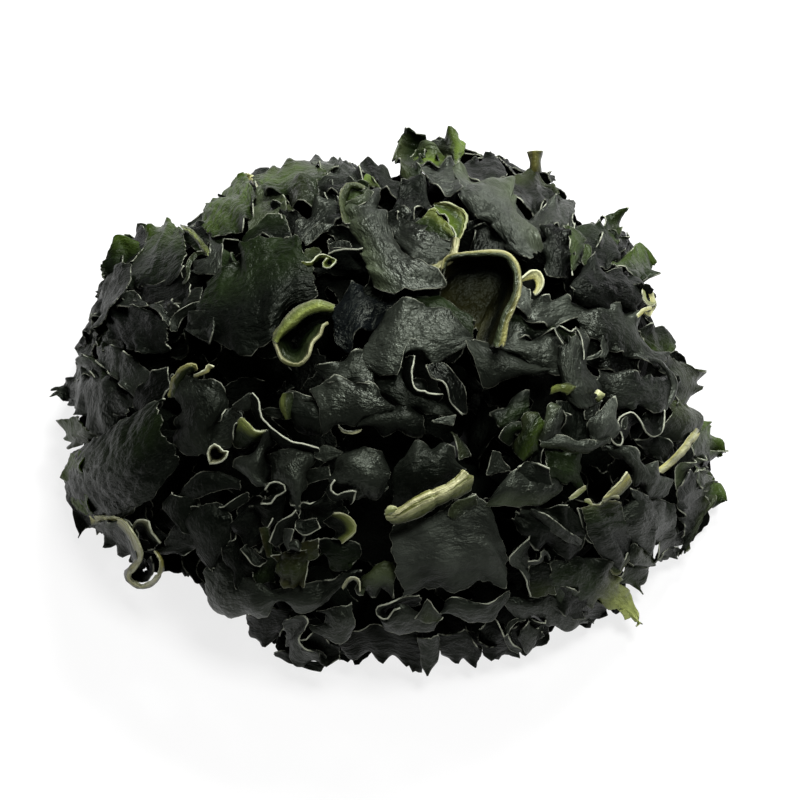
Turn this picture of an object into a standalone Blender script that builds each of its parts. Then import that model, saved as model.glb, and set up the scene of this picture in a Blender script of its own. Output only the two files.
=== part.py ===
"""A heap of dried wakame: a lumpy core with the torn, curled leaves that show fused onto it.

Metres, +Z up.  The origin is the middle of the flat base, and the front of the heap faces -Y.
"""
import math

import bmesh
import bpy
import numpy as np
from mathutils import Matrix

MM = 0.001

# The mound that the leaves lie on, in mm: half its length, half its depth, and its height.
MOUND = np.array([77.0, 69.0, 63.0])
SHOULDER = 2.2              # above 2, the flanks stand steeper and the crown is flatter

# The core under the leaves
CORE_SHARE = 0.93           # of the mound
CORE_SIDES, CORE_RINGS = 44, 20
LUMP_HEIGHT = 0.5           # mm, of each of the waves whose sum makes the lumps
LUMP_WAVES = 9
LUMP_TURNS = 15.0           # radians of wave for each radius of the mound

# A leaf
LEAF_THICKNESS = 0.7        # mm
CELL = 6.0                  # mm, the aim for one cell of its grid
FEWEST_CELLS, MOST_LONG, MOST_WIDE = 2, 9, 4
LINE_POINTS = 21            # that a drawn line is read at
FLOOR_GAP = 0.6             # mm, how far a leaf stays above the base
ROOTED_POINTS = 3           # a leaf is lowered until this many of its points are this deep in the core
ROOTED_DEPTH = 0.045        # a share of the core's size
ROOT_REACH = 2.2            # times that depth, for a border that has to go on down into the core
LOWERING = 0.4              # mm a step
FRILL_TURNS = 2.4 * math.pi # radians that the border's wave turns in half a leaf's length

# The leaves are placed as they are seen from a viewpoint in front of the heap and above it.
VIEW_TILT = math.radians(50)
VIEW_DISTANCE = 460.0       # mm
VIEW_CENTRE = (2.4, 7.3)    # mm across and up
RIGHT = np.array([1.0, 0.0, 0.0])
UPWARD = np.array([0.0, math.sin(VIEW_TILT), math.cos(VIEW_TILT)])
TOWARD = np.array([0.0, -math.cos(VIEW_TILT), math.sin(VIEW_TILT)])
VIEWPOINT = VIEW_CENTRE[0] * RIGHT + VIEW_CENTRE[1] * UPWARD + VIEW_DISTANCE * TOWARD

# How the leaves on the back and the low flanks are spread
SPREAD_COUNT = 80
GOLDEN_ANGLE = math.radians(137.508)
SPREAD_LENGTH = (20.0, 31.0)
SPREAD_SLENDERNESS = (0.5, 0.8)
SPREAD_LEAN = 27.0          # degrees
SPREAD_SINK = (-2.5, 1.0)   # mm
SPREAD_CELL = 8.0           # mm
FRONT_COVER = 0.0           # a spread leaf is left out where the mound faces the viewpoint more than this
LOW_FLANK = 0.12            # but not below this share of the height

# Bends in degrees of a spread leaf, along it (bend, snake, twist) and across it (cup, fold), and how far
# its border waves in and out, in mm.
FORMS = [
    dict(bend=28, cup=22, fold=16, frill=1.0, twist=8),
    dict(bend=18, cup=15, fold=38, frill=0.8),
    dict(bend=38, cup=28, fold=12, frill=0.9, snake=8),
    dict(bend=50, cup=55, fold=8, frill=0.5, twist=18),
]

# Outlines: how round the corners are, and how torn the border is.
SPREAD_OUTLINE = dict(corner=0.7, torn=1.0)
DRAWN_OUTLINE = dict(corner=0.15, torn=0.4)

# The leaves that show are drawn as seen from the viewpoint, on squared paper: one square is 0.244 mm of the
# view plane, and PAPER_MIDDLE is the square, from the left and from the top, where the middle of the base
# shows.  Two to four lines run along a leaf: its borders, and lines between them where it bulges or sinks.
# A place on a line is (squares from the left, squares from the top, mm that it stands out from the mound).
SQUARE = 0.244
PAPER_MIDDLE = (390, 430)
LEAVES = {
    "crest_spike": [
        [(405, 131, 2), (401, 146, 3), (398, 157, 3), (403, 168, 4), (410, 181, 4)],
        [(411, 131, 3), (412, 146, 1), (410, 157, 1), (412, 168, 3), (415, 181, 5)],
        [(411, 131, 3), (420, 139, 3), (424, 150, 3), (418, 165, 4), (421, 181, 4)],
    ],
    "crest_bowl": [
        [(411, 157, 4), (416, 149, 4), (427, 146, 4), (436, 151, 4), (446, 158, 4)],
        [(413, 161, 1), (420, 160, 0), (428, 160, 0), (436, 160, 0), (446, 161, 1)],
        [(412, 163, 6), (418, 168, 6), (428, 170, 6), (438, 168, 6), (447, 163, 6)],
    ],
    "arch": [
        [(456, 170, 5), (478, 178, 6), (494, 177, 7), (508, 185, 7), (518, 206, 7), (530, 229, 7),
         (543, 247, 7)],
        [(458, 180, 6), (475, 190, 7), (488, 195, 8), (502, 205, 9), (510, 220, 9), (520, 238, 9),
         (532, 252, 8)],
        [(458, 190, 4), (468, 205, 5), (480, 215, 6), (491, 221, 6), (498, 233, 6), (506, 247, 6),
         (522, 257, 7)],
    ],
    "stub_leaf": [
        [(500, 181, 3), (515, 176, 3), (534, 171, 3), (548, 179, 3), (560, 197, 3)],
        [(505, 188, 2), (520, 190, 1), (533, 190, 1), (545, 190, 1), (556, 197, 3)],
        [(512, 200, 4), (523, 206, 5), (533, 210, 5), (545, 205, 5), (560, 199, 4)],
    ],
    "ridge_right": [
        [(515, 208, 4), (530, 218, 5), (545, 208, 5), (560, 199, 5), (573, 204, 3)],
        [(525, 235, 4), (540, 232, 4), (552, 228, 4), (562, 228, 4), (572, 218, 3)],
    ],
    "crinkle": [
        [(385, 215, 4), (402, 210, 6), (420, 212, 7), (436, 222, 7), (452, 238, 7)],
        [(388, 232, 5), (402, 236, 7), (420, 240, 8), (435, 245, 8), (450, 250, 8)],
        [(398, 250, 6), (410, 258, 7), (422, 266, 7), (434, 266, 7), (446, 260, 7)],
    ],
    "crown_dark": [
        [(393, 205, 4), (400, 190, 5), (412, 181, 5), (424, 187, 5), (431, 201, 5)],
        [(396, 216, 6), (402, 222, 7), (412, 218, 7), (420, 212, 7), (428, 210, 7)],
    ],
    "ribbon": [
        [(343, 205, 8), (350, 218, 8), (359, 235, 8), (366, 257, 8), (376, 284, 9)],
        [(358, 198, 9), (366, 215, 10), (377, 238, 10), (390, 262, 10), (405, 288, 10)],
        [(378, 190, 6), (381, 215, 7), (391, 236, 8), (407, 256, 9), (441, 283, 9)],
    ],
    "back_green": [
        [(252, 176, 0), (264, 171, 0), (280, 169, 0), (291, 162, 1), (303, 160, 1), (318, 160, 0)],
        [(253, 180, 1), (265, 180, 1), (282, 180, 1), (295, 175, 1), (308, 172, 1), (322, 170, 0)],
        [(254, 185, 2), (266, 192, 2), (282, 192, 2), (296, 190, 2), (310, 184, 2), (325, 178, 1)],
    ],
    "sage_leaf": [
        [(262, 190, 3), (254, 206, 3), (253, 220, 4), (248, 234, 4)],
        [(276, 191, 3), (284, 203, 4), (281, 213, 4), (262, 224, 4)],
    ],
    "loop_dark": [
        [(342, 222, 8), (352, 227, 8), (359, 234, 8), (361, 243, 8), (353, 252, 8), (345, 252, 8),
         (335, 250, 8), (327, 253, 8)],
        [(336, 226, 5), (343, 231, 4), (350, 237, 4), (352, 242, 4), (348, 246, 4), (342, 247, 4),
         (335, 246, 4), (328, 248, 5)],
        [(325, 232, 4), (330, 236, 3), (335, 240, 3), (338, 242, 3), (338, 243, 3), (335, 243, 3),
         (331, 242, 3), (326, 243, 4)],
    ],
    "spiky": [
        [(574, 225, 2), (590, 225, 3), (604, 228, 3), (617, 238, 3), (629, 236, 2)],
        [(577, 243, 2), (592, 246, 3), (605, 247, 3), (615, 247, 3), (628, 240, 2)],
        [(580, 264, 3), (594, 266, 4), (606, 266, 4), (615, 257, 4), (629, 243, 3)],
    ],
    "twin_dark": [
        [(546, 228, 5), (545, 250, 5), (548, 275, 5)],
        [(552, 226, 7), (556, 250, 7), (556, 275, 6)],
        [(561, 226, 7), (567, 243, 7), (566, 275, 6)],
    ],
    "roll_right": [
        [(575, 278, 5), (583, 268, 6), (602, 265, 6), (612, 271, 6), (630, 275, 6), (643, 284, 5)],
        [(574, 287, 8), (586, 286, 9), (602, 288, 9), (614, 290, 9), (628, 292, 9), (640, 294, 8)],
        [(577, 297, 6), (588, 304, 6), (602, 309, 6), (614, 310, 6), (628, 308, 6), (641, 304, 6)],
    ],
    "broad_right": [
        [(570, 298, 4), (590, 304, 5), (612, 310, 5), (634, 316, 5), (642, 330, 5), (650, 346, 5),
         (664, 357, 5)],
        [(575, 312, 6), (592, 318, 7), (608, 323, 7), (626, 330, 7), (637, 342, 7), (646, 352, 7),
         (662, 361, 7)],
        [(582, 330, 5), (595, 336, 6), (605, 342, 7), (622, 349, 7), (634, 356, 7), (645, 361, 7),
         (660, 366, 7)],
    ],
    "right_hollow": [
        [(584, 336, 5), (603, 338, 5), (625, 345, 5), (634, 362, 5)],
        [(584, 360, 4), (604, 366, 4), (620, 372, 4), (640, 376, 4)],
    ],
    "rim_right": [
        [(604, 368, 7), (620, 375, 7), (638, 379, 8), (655, 379, 8), (669, 379, 7)],
        [(600, 382, 8), (618, 391, 8), (637, 393, 9), (654, 394, 9), (671, 394, 8)],
        [(600, 394, 6), (616, 407, 7), (636, 405, 8), (652, 407, 8), (666, 411, 7)],
    ],
    "edge_right": [
        [(664, 357, 3), (674, 375, 3), (676, 390, 3), (672, 404, 3)],
        [(690, 366, 2), (698, 374, 2), (696, 390, 2), (688, 405, 2)],
    ],
    "vase": [
        [(564, 337, 7), (562, 352, 8), (561, 370, 8), (560, 390, 8), (568, 399, 8)],
        [(572, 340, 10), (572, 355, 10), (572, 372, 10), (577, 392, 10), (583, 405, 9)],
        [(579, 330, 8), (583, 350, 8), (585, 367, 8), (597, 382, 8), (598, 399, 8)],
    ],
    "hood": [
        [(441, 272, 8), (462, 256, 11), (504, 255, 12), (518, 279, 12), (506, 317, 11), (495, 346, 10)],
        [(444, 284, 4), (464, 272, 3), (495, 272, 3), (504, 292, 3), (493, 324, 4), (484, 347, 5)],
        [(438, 296, 3), (456, 312, 0), (472, 318, 0), (478, 328, 1), (476, 342, 3), (472, 356, 4)],
    ],
    "hood_rim": [
        [(440, 271, 9), (462, 253, 11), (505, 252, 12), (521, 278, 12), (510, 321, 12), (504, 348, 11)],
        [(443, 272, 9), (463, 255, 12), (503, 255, 13), (517, 279, 13), (504, 319, 13), (497, 348, 12)],
        [(446, 274, 8), (464, 258, 10), (500, 258, 11), (513, 280, 11), (499, 317, 11), (491, 347, 10)],
    ],
    "pale_grey": [
        [(530, 302, 6), (548, 301, 6), (566, 301, 6), (579, 309, 5)],
        [(518, 306, 6), (529, 317, 7), (541, 324, 7), (575, 318, 6)],
    ],
    "slab_top": [
        [(505, 342, 6), (520, 338, 6), (540, 336, 6), (560, 332, 5)],
        [(504, 346, 7), (520, 347, 8), (538, 350, 8), (561, 350, 7)],
        [(503, 350, 7), (518, 355, 8), (536, 364, 8), (561, 372, 6)],
    ],
    "slab": [
        [(468, 336, 7), (480, 345, 7), (500, 352, 7), (522, 360, 7), (558, 370, 6)],
        [(476, 358, 9), (490, 362, 9), (505, 366, 9), (525, 368, 9), (556, 370, 7)],
        [(484, 383, 8), (498, 380, 8), (512, 376, 8), (530, 373, 8), (556, 369, 7)],
    ],
    "hood_floor": [
        [(402, 302, 4), (418, 298, 5), (436, 296, 5), (452, 304, 5), (470, 318, 5)],
        [(404, 310, 5), (420, 308, 6), (438, 310, 6), (452, 320, 6), (470, 332, 6)],
        [(404, 325, 5), (420, 330, 5), (438, 334, 5), (454, 338, 5), (472, 345, 5)],
    ],
    "bayed": [
        [(372, 325, 5), (392, 311, 7), (410, 305, 8), (428, 305, 8), (448, 315, 8), (470, 337, 7)],
        [(368, 346, 7), (390, 340, 9), (410, 336, 9), (430, 334, 9), (450, 336, 9), (470, 338, 7)],
        [(366, 364, 8), (386, 372, 9), (410, 368, 9), (431, 363, 9), (450, 354, 8), (470, 340, 7)],
    ],
    "blue_leaf": [
        [(334, 308, 5), (350, 298, 5), (366, 286, 5), (390, 290, 4), (402, 300, 3)],
        [(338, 342, 6), (348, 345, 6), (356, 331, 6), (376, 323, 5), (400, 311, 4)],
    ],
    "hook": [
        [(334, 306, 10), (304, 304, 12), (284, 320, 12), (273, 340, 12), (281, 360, 12), (303, 363, 12),
         (314, 342, 12), (323, 326, 11), (328, 323, 10)],
        [(334, 312, 8), (308, 316, 8), (289, 331, 8), (283, 343, 8), (289, 353, 8), (299, 353, 8),
         (304, 341, 8), (315, 328, 8), (322, 324, 8)],
        [(328, 318, 4), (306, 326, 2), (294, 337, 2), (291, 343, 2), (294, 349, 2), (299, 347, 2),
         (303, 338, 2), (313, 328, 4), (318, 325, 5)],
    ],
    "hook_band": [
        [(334, 306, 10), (317, 300, 11.5), (304, 304, 12.5), (292, 311, 12.5), (284, 320, 12.5),
         (277, 330, 12.5), (273, 341, 12)],
        [(334, 309, 11), (319, 306, 12.5), (306, 310, 13), (296, 318, 13), (287, 326, 13), (280, 334, 13),
         (276, 343, 12)],
        [(333, 313, 10), (320, 312, 11), (308, 316, 11.5), (297, 325, 11.5), (289, 331, 11.5),
         (282, 338, 11.5), (278, 345, 11)],
    ],
    "band_top": [
        [(317, 366, 7), (330, 366, 8), (345, 361, 8), (358, 355, 8), (370, 350, 7)],
        [(318, 372, 7), (330, 382, 8), (346, 378, 9), (358, 378, 9), (370, 383, 8)],
    ],
    "band": [
        [(313, 388, 8), (330, 385, 9), (350, 385, 9), (370, 390, 9), (387, 399, 8), (401, 407, 7)],
        [(321, 408, 10), (333, 405, 10), (350, 403, 10), (367, 404, 10), (384, 406, 9), (401, 408, 7)],
        [(323, 430, 8), (331, 425, 9), (347, 421, 9), (365, 417, 9), (382, 412, 8), (401, 409, 7)],
    ],
    "band_low": [
        [(358, 421, 7), (375, 414, 8), (390, 410, 8), (405, 408, 8), (420, 413, 7)],
        [(360, 424, 8), (376, 421, 9), (391, 419, 9), (405, 418, 9), (420, 420, 8)],
        [(362, 428, 7), (378, 429, 7), (392, 430, 8), (406, 429, 8), (420, 427, 7)],
    ],
    "band_right": [
        [(368, 378, 6), (385, 375, 6), (400, 372, 6), (412, 380, 6), (430, 397, 6), (450, 408, 7)],
        [(370, 386, 7), (386, 386, 8), (402, 390, 8), (418, 396, 8), (434, 401, 8), (452, 412, 8)],
        [(372, 392, 7), (387, 397, 8), (402, 403, 8), (420, 408, 8), (436, 410, 8), (453, 416, 8)],
    ],
    "fold_a": [
        [(415, 356, 9), (413, 370, 10), (412, 382, 10), (416, 389, 10), (424, 391, 10), (432, 394, 10),
         (444, 394, 9)],
        [(404, 356, 7), (402, 370, 7), (403, 382, 7), (407, 391, 7), (416, 396, 7), (428, 401, 7),
         (438, 404, 7)],
    ],
    "fold_b": [
        [(425, 366, 9), (431, 376, 10), (441, 382, 10), (448, 391, 10), (452, 403, 10), (461, 416, 9)],
        [(438, 360, 7), (448, 368, 7), (457, 377, 7), (463, 388, 7), (466, 400, 7), (468, 412, 7)],
    ],
    "sheet_top": [
        [(399, 459, 8), (412, 453, 9), (427, 449, 9), (443, 450, 9), (455, 455, 9), (464, 468, 9)],
        [(396, 480, 9), (410, 474, 11), (424, 470, 11), (440, 470, 11), (452, 472, 10), (463, 474, 9)],
        [(394, 508, 8), (406, 503, 9), (418, 497, 9), (434, 491, 9), (448, 484, 9), (462, 477, 9)],
    ],
    "stem": [
        [(385, 509, 11), (397, 509, 12), (415, 497, 12), (432, 490, 12), (447, 485, 12), (465, 467, 11)],
        [(386, 517, 12), (399, 517, 13), (417, 508, 13), (434, 500, 13), (450, 492, 13), (471, 477, 12)],
        [(388, 524, 11), (401, 524, 12), (418, 517, 12), (436, 507, 12), (453, 498, 12), (475, 490, 11)],
    ],
    "front_sheet": [
        [(393, 524, 7), (412, 520, 8), (434, 510, 8), (460, 500, 8), (478, 500, 8), (492, 519, 7)],
        [(393, 548, 9), (415, 544, 10), (438, 540, 10), (462, 536, 10), (484, 534, 10), (499, 543, 8)],
        [(397, 570, 10), (416, 568, 11), (440, 566, 11), (464, 562, 11), (488, 560, 11), (504, 563, 8)],
        [(401, 594, 9), (418, 592, 9), (442, 590, 9), (466, 586, 9), (486, 585, 9), (505, 586, 8)],
    ],
    "broad_left": [
        [(204, 284, 6), (222, 273, 7), (238, 258, 7), (240, 243, 7), (262, 236, 8), (281, 233, 8),
         (303, 246, 7)],
        [(203, 296, 7), (222, 288, 9), (244, 278, 9), (256, 266, 9), (272, 260, 9), (288, 258, 9),
         (308, 262, 8)],
        [(196, 312, 7), (218, 312, 9), (242, 308, 10), (262, 300, 10), (280, 290, 10), (296, 280, 9),
         (314, 280, 7)],
        [(189, 332, 6), (215, 343, 7), (240, 349, 8), (260, 349, 8), (276, 336, 7), (292, 312, 6),
         (318, 296, 5)],
    ],
    "upper_left": [
        [(111, 250, 2), (116, 235, 2), (130, 240, 3), (141, 238, 3), (148, 227, 3), (166, 223, 3),
         (183, 228, 3)],
        [(104, 262, 3), (114, 258, 5), (128, 258, 6), (142, 257, 6), (155, 252, 6), (168, 250, 6),
         (186, 248, 5)],
        [(101, 278, 4), (112, 285, 5), (126, 288, 5), (142, 290, 5), (158, 287, 5), (174, 282, 5),
         (188, 270, 4)],
    ],
    "upper_left_low": [
        [(98, 292, 3), (115, 286, 4), (140, 288, 4), (165, 284, 4), (185, 276, 4)],
        [(101, 303, 4), (118, 300, 5), (142, 303, 5), (165, 305, 5), (188, 295, 5)],
    ],
    "shelf_under": [
        [(102, 309, 4), (120, 309, 5), (140, 309, 5), (153, 311, 5), (167, 328, 5)],
        [(108, 325, 6), (124, 328, 7), (140, 330, 7), (154, 332, 7), (168, 338, 6)],
        [(112, 338, 4), (128, 347, 5), (145, 352, 5), (158, 354, 5), (170, 350, 5)],
    ],
    "left_tip": [
        [(58, 389, 1), (68, 382, 2), (78, 375, 3), (95, 374, 4), (115, 385, 4), (130, 398, 4)],
        [(58, 392, 2), (70, 390, 4), (82, 390, 6), (98, 392, 6), (112, 400, 6), (128, 408, 5)],
        [(58, 395, 2), (70, 401, 3), (81, 411, 4), (92, 425, 4), (106, 430, 4), (124, 416, 4)],
    ],
    "left_fold": [
        [(72, 377, 1), (75, 364, 1), (84, 356, 1), (98, 362, 2), (112, 373, 3)],
        [(80, 380, 4), (86, 374, 4), (94, 376, 4), (104, 384, 4), (114, 392, 4)],
    ],
    "left_diagonal": [
        [(98, 346, 3), (115, 350, 4), (132, 362, 5), (151, 377, 5)],
        [(100, 362, 4), (112, 372, 5), (125, 385, 6), (137, 396, 6)],
    ],
    "great_left": [
        [(73, 452, 3), (88, 444, 5), (102, 437, 6), (120, 421, 7), (138, 410, 8), (168, 397, 8)],
        [(68, 470, 4), (84, 466, 7), (102, 462, 9), (122, 450, 10), (142, 436, 10), (158, 420, 9)],
        [(70, 495, 5), (88, 492, 8), (106, 488, 10), (128, 480, 11), (150, 464, 10), (172, 446, 7)],
        [(77, 534, 5), (92, 529, 7), (112, 521, 9), (136, 512, 9), (158, 495, 8), (179, 463, 6)],
    ],
    "great_left_glow": [
        [(73, 452, 4.5), (67, 474, 5), (71, 494, 6), (79, 514, 6.5)],
        [(86, 452, 6.5), (84, 474, 8), (88, 494, 9), (94, 514, 9)],
    ],
    "s_curl": [
        [(90, 515, 9), (122, 519, 12), (139, 543, 12), (138, 567, 12), (132, 581, 12), (150, 581, 12),
         (160, 562, 11), (154, 551, 10)],
        [(91, 520, 9), (121, 522, 11), (136, 545, 11), (135, 565, 11), (130, 582, 11), (151, 583, 11),
         (162, 562, 10), (156, 551, 9)],
        [(92, 525, 9), (119, 526, 8), (132, 546, 8), (132, 564, 8), (128, 584, 8), (153, 585, 8),
         (164, 562, 8), (158, 551, 8)],
    ],
    "s_leaf": [
        [(92, 524, 9), (108, 521, 10), (120, 524, 10), (129, 534, 10), (134, 545, 10), (138, 556, 10)],
        [(94, 528, 7), (106, 529, 7), (115, 533, 7), (123, 541, 7), (129, 549, 7), (135, 558, 8)],
        [(98, 531, 4), (104, 534, 4), (111, 540, 4), (119, 547, 4), (126, 554, 4), (133, 560, 5)],
    ],
    "s_bowl": [
        [(140, 556, 9), (136, 567, 9), (131, 576, 9), (140, 582, 9), (150, 577, 9), (156, 566, 9),
         (152, 555, 9)],
        [(146, 560, 4), (145, 565, 4), (143, 569, 4), (144, 572, 4), (147, 569, 4), (149, 565, 4),
         (148, 560, 4)],
    ],
    "smooth_edge": [
        [(143, 550, 7), (152, 549, 8), (161, 548, 8), (166, 539, 8), (171, 533, 8), (177, 522, 8)],
        [(150, 552, 7), (162, 552, 8), (174, 548, 8), (182, 540, 8), (186, 530, 8), (188, 515, 8)],
        [(160, 553, 6), (176, 554, 7), (190, 552, 7), (198, 545, 7), (200, 532, 7), (196, 512, 7)],
    ],
    "ribbed_left": [
        [(180, 378, 9), (178, 396, 9), (179, 415, 9), (175, 432, 8), (197, 453, 7)],
        [(188, 377, 10), (196, 396, 11), (199, 415, 11), (199, 434, 10), (206, 452, 8)],
        [(194, 376, 9), (208, 386, 9), (222, 392, 8), (221, 414, 7), (214, 450, 6)],
    ],
    "ring": [
        [(209, 462, 10), (211, 446, 10), (223, 451, 10), (225, 459, 10), (209, 463, 10)],
        [(212, 459, 7), (213, 449, 7), (220, 453, 7), (221, 458, 7), (212, 460, 7)],
        [(214, 456, 4), (214, 452, 4), (218, 454, 4), (218, 456, 4), (214, 457, 4)],
    ],
    "mid_edge": [
        [(250, 392, 10), (258, 399, 10), (260, 410, 10), (266, 422, 10), (276, 432, 10), (290, 440, 10),
         (305, 444, 10), (320, 450, 9)],
        [(251, 400, 8), (252, 410, 8), (255, 419, 7), (262, 430, 7), (272, 440, 7), (285, 448, 7),
         (300, 452, 7), (316, 455, 7)],
    ],
    "triangle": [
        [(262, 433, 9), (255, 446, 9), (248, 458, 9), (241, 466, 9), (247, 475, 9), (262, 482, 9)],
        [(267, 434, 9), (261, 448, 9), (257, 460, 10), (254, 468, 10), (257, 477, 9), (264, 485, 9)],
        [(272, 436, 7), (269, 448, 7), (266, 460, 7), (265, 469, 7), (265, 478, 7), (267, 488, 7)],
    ],
    "drop": [
        [(269, 456, 8), (276, 470, 9), (281, 482, 9), (288, 496, 9), (294, 507, 9)],
        [(288, 452, 9), (292, 467, 10), (293, 481, 11), (295, 495, 10), (296, 507, 9)],
        [(306, 450, 7), (309, 466, 8), (305, 482, 8), (301, 494, 9), (298, 507, 9)],
    ],
    "black_sheet": [
        [(170, 495, 6), (178, 494, 7), (187, 484, 8), (200, 473, 8), (220, 473, 7), (241, 480, 6)],
        [(171, 497, 7), (182, 496, 8), (194, 489, 9), (206, 482, 9), (222, 480, 8), (241, 484, 7)],
        [(172, 500, 6), (185, 499, 7), (200, 497, 8), (215, 492, 8), (228, 489, 7), (241, 490, 6)],
    ],
    "smooth_left": [
        [(192, 508, 7), (189, 522, 8), (192, 536, 8), (200, 556, 8), (211, 569, 8)],
        [(206, 507, 9), (206, 522, 10), (208, 537, 10), (210, 553, 9), (213, 568, 8)],
        [(222, 506, 7), (228, 520, 8), (227, 535, 8), (222, 552, 8), (215, 567, 8)],
    ],
    "olive_crumple": [
        [(272, 556, 8), (285, 553, 9), (300, 551, 9), (318, 545, 8)],
        [(276, 566, 9), (288, 570, 10), (298, 570, 10), (308, 564, 9)],
        [(280, 576, 8), (289, 585, 9), (298, 589, 9), (305, 585, 9)],
    ],
    "lit_mid": [
        [(329, 475, 7), (341, 460, 8), (355, 451, 8), (372, 452, 7), (388, 466, 6)],
        [(330, 477, 9), (343, 468, 10), (357, 464, 10), (372, 465, 9), (388, 472, 8)],
        [(333, 482, 9), (345, 480, 10), (357, 479, 10), (371, 479, 10), (386, 480, 8)],
        [(336, 488, 8), (346, 491, 8), (356, 493, 8), (370, 494, 8), (385, 488, 7)],
    ],
    "crescent": [
        [(216, 556, 6), (232, 562, 7), (246, 576, 7), (264, 586, 8), (286, 590, 8), (310, 588, 8),
         (332, 582, 8), (356, 570, 7)],
        [(210, 572, 8), (224, 580, 9), (246, 588, 10), (266, 594, 10), (286, 596, 10), (308, 596, 10),
         (330, 590, 9), (354, 574, 8)],
        [(206, 582, 8), (217, 596, 10), (246, 602, 11), (267, 601, 11), (284, 600, 11), (306, 603, 11),
         (328, 597, 10), (350, 579, 8)],
        [(207, 592, 7), (216, 609, 9), (250, 615, 10), (268, 606, 10), (282, 602, 10), (302, 610, 10),
         (326, 603, 9), (346, 582, 8)],
    ],
    "bottom_curl": [
        [(281, 622, 8), (302, 614, 9), (302, 629, 10), (304, 646, 10), (328, 660, 9)],
        [(283, 627, 8), (296, 623, 8), (296, 633, 8), (296, 650, 8), (320, 662, 8)],
        [(283, 632, 6), (288, 632, 6), (286, 642, 6), (290, 655, 6), (314, 665, 6)],
    ],
    "bottom_lit": [
        [(352, 604, 9), (354, 618, 10), (355, 628, 10), (349, 637, 10), (338, 640, 10), (326, 637, 10),
         (314, 633, 9)],
        [(336, 607, 9), (340, 617, 11), (341, 625, 11), (337, 630, 11), (331, 632, 11), (322, 631, 10),
         (312, 630, 9)],
        [(312, 611, 7), (318, 613, 8), (325, 617, 9), (326, 622, 9), (322, 625, 9), (316, 627, 8),
         (309, 628, 8)],
    ],
    "s_front": [
        [(400, 606, 10), (390, 616, 10), (378, 616, 10), (386, 603, 10), (420, 596, 8)],
        [(398, 612, 6), (391, 615, 6), (384, 614, 6), (389, 608, 6), (420, 604, 6)],
    ],
    "s_front_body": [
        [(377, 612, 9), (381, 619, 9), (386, 621, 9), (391, 616, 9), (396, 608, 9), (404, 606, 9),
         (420, 612, 8), (434, 618, 7)],
        [(378, 616, 9), (382, 622, 9), (387, 624, 10), (392, 621, 10), (397, 617, 10), (404, 616, 10),
         (418, 618, 9), (434, 622, 8)],
        [(380, 621, 8), (384, 627, 8), (389, 629, 8), (394, 629, 9), (400, 629, 9), (406, 628, 9),
         (418, 627, 8), (432, 626, 7)],
    ],
    "front_band": [
        [(440, 612, 8), (450, 598, 9), (464, 599, 10), (480, 603, 10), (496, 599, 10), (511, 590, 9)],
        [(440, 613, 9), (452, 607, 10), (466, 610, 11), (480, 612, 11), (494, 609, 10), (508, 597, 9)],
        [(440, 615, 8), (454, 616, 9), (468, 621, 9), (480, 622, 9), (492, 618, 9), (505, 605, 8)],
    ],
    "low_shadow": [
        [(340, 640, 3), (370, 630, 4), (400, 632, 4), (420, 635, 4)],
        [(350, 656, 2), (372, 656, 3), (400, 660, 3), (420, 667, 3)],
    ],
    "cluster_c": [
        [(540, 437, 9), (560, 437, 10), (580, 440, 10), (598, 440, 10), (613, 434, 10)],
        [(540, 442, 10), (560, 443, 11), (578, 447, 11), (592, 448, 11), (608, 440, 10)],
        [(538, 446, 9), (558, 448, 9), (575, 453, 9), (588, 453, 9), (604, 444, 9)],
    ],
    "cluster_low": [
        [(548, 450, 8), (560, 451, 8), (574, 454, 8), (580, 462, 7)],
        [(549, 464, 10), (560, 466, 10), (572, 470, 10), (579, 474, 8)],
        [(552, 478, 9), (562, 480, 9), (572, 484, 9), (580, 487, 8)],
    ],
    "right_rims": [
        [(612, 437, 9), (618, 421, 10), (633, 412, 10), (646, 433, 10), (662, 431, 10), (665, 411, 9)],
        [(618, 438, 7), (624, 424, 7), (632, 419, 7), (646, 424, 8), (659, 422, 8), (662, 410, 7)],
        [(624, 440, 4), (629, 428, 4), (633, 424, 4), (646, 412, 6), (656, 410, 6), (659, 409, 6)],
    ],
    "right_band": [
        [(604, 444, 6), (620, 445, 8), (636, 458, 9), (652, 470, 9), (672, 478, 8)],
        [(607, 448, 7), (622, 453, 9), (637, 465, 10), (653, 478, 10), (670, 485, 9)],
        [(610, 452, 6), (622, 460, 7), (636, 474, 8), (650, 490, 8), (664, 496, 8)],
    ],
    "right_wing": [
        [(683, 468, 6), (678, 486, 6), (679, 505, 6), (682, 525, 5), (681, 545, 4), (678, 556, 3)],
        [(697, 470, 5), (694, 488, 5), (694, 506, 5), (693, 522, 5), (688, 540, 4), (682, 555, 3)],
        [(700, 469, 3), (714, 482, 2), (714, 500, 2), (704, 516, 2), (694, 537, 2), (684, 556, 2)],
    ],
    "right_cup": [
        [(580, 507, 9), (590, 505, 10), (604, 502, 10), (620, 500, 9)],
        [(584, 522, 10), (594, 520, 11), (607, 518, 11), (624, 516, 9)],
        [(590, 540, 9), (600, 538, 10), (612, 536, 10), (630, 534, 8)],
        [(612, 570, 8), (618, 568, 8), (624, 560, 8), (633, 548, 7)],
    ],
    "right_slab": [
        [(622, 510, 7), (635, 503, 8), (655, 503, 8), (674, 505, 6)],
        [(628, 528, 9), (640, 524, 10), (656, 524, 10), (673, 524, 8)],
        [(633, 543, 7), (645, 545, 8), (658, 545, 8), (672, 532, 7)],
    ],
    "cluster_d": [
        [(498, 488, 9), (508, 474, 10), (520, 470, 10), (534, 478, 9), (556, 476, 8), (562, 484, 8)],
        [(492, 498, 9), (506, 490, 11), (520, 490, 11), (538, 492, 11), (552, 490, 10), (562, 488, 9)],
        [(482, 507, 8), (500, 505, 9), (515, 508, 10), (530, 505, 10), (546, 500, 9), (560, 494, 9)],
    ],
    "mauve_curl": [
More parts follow.
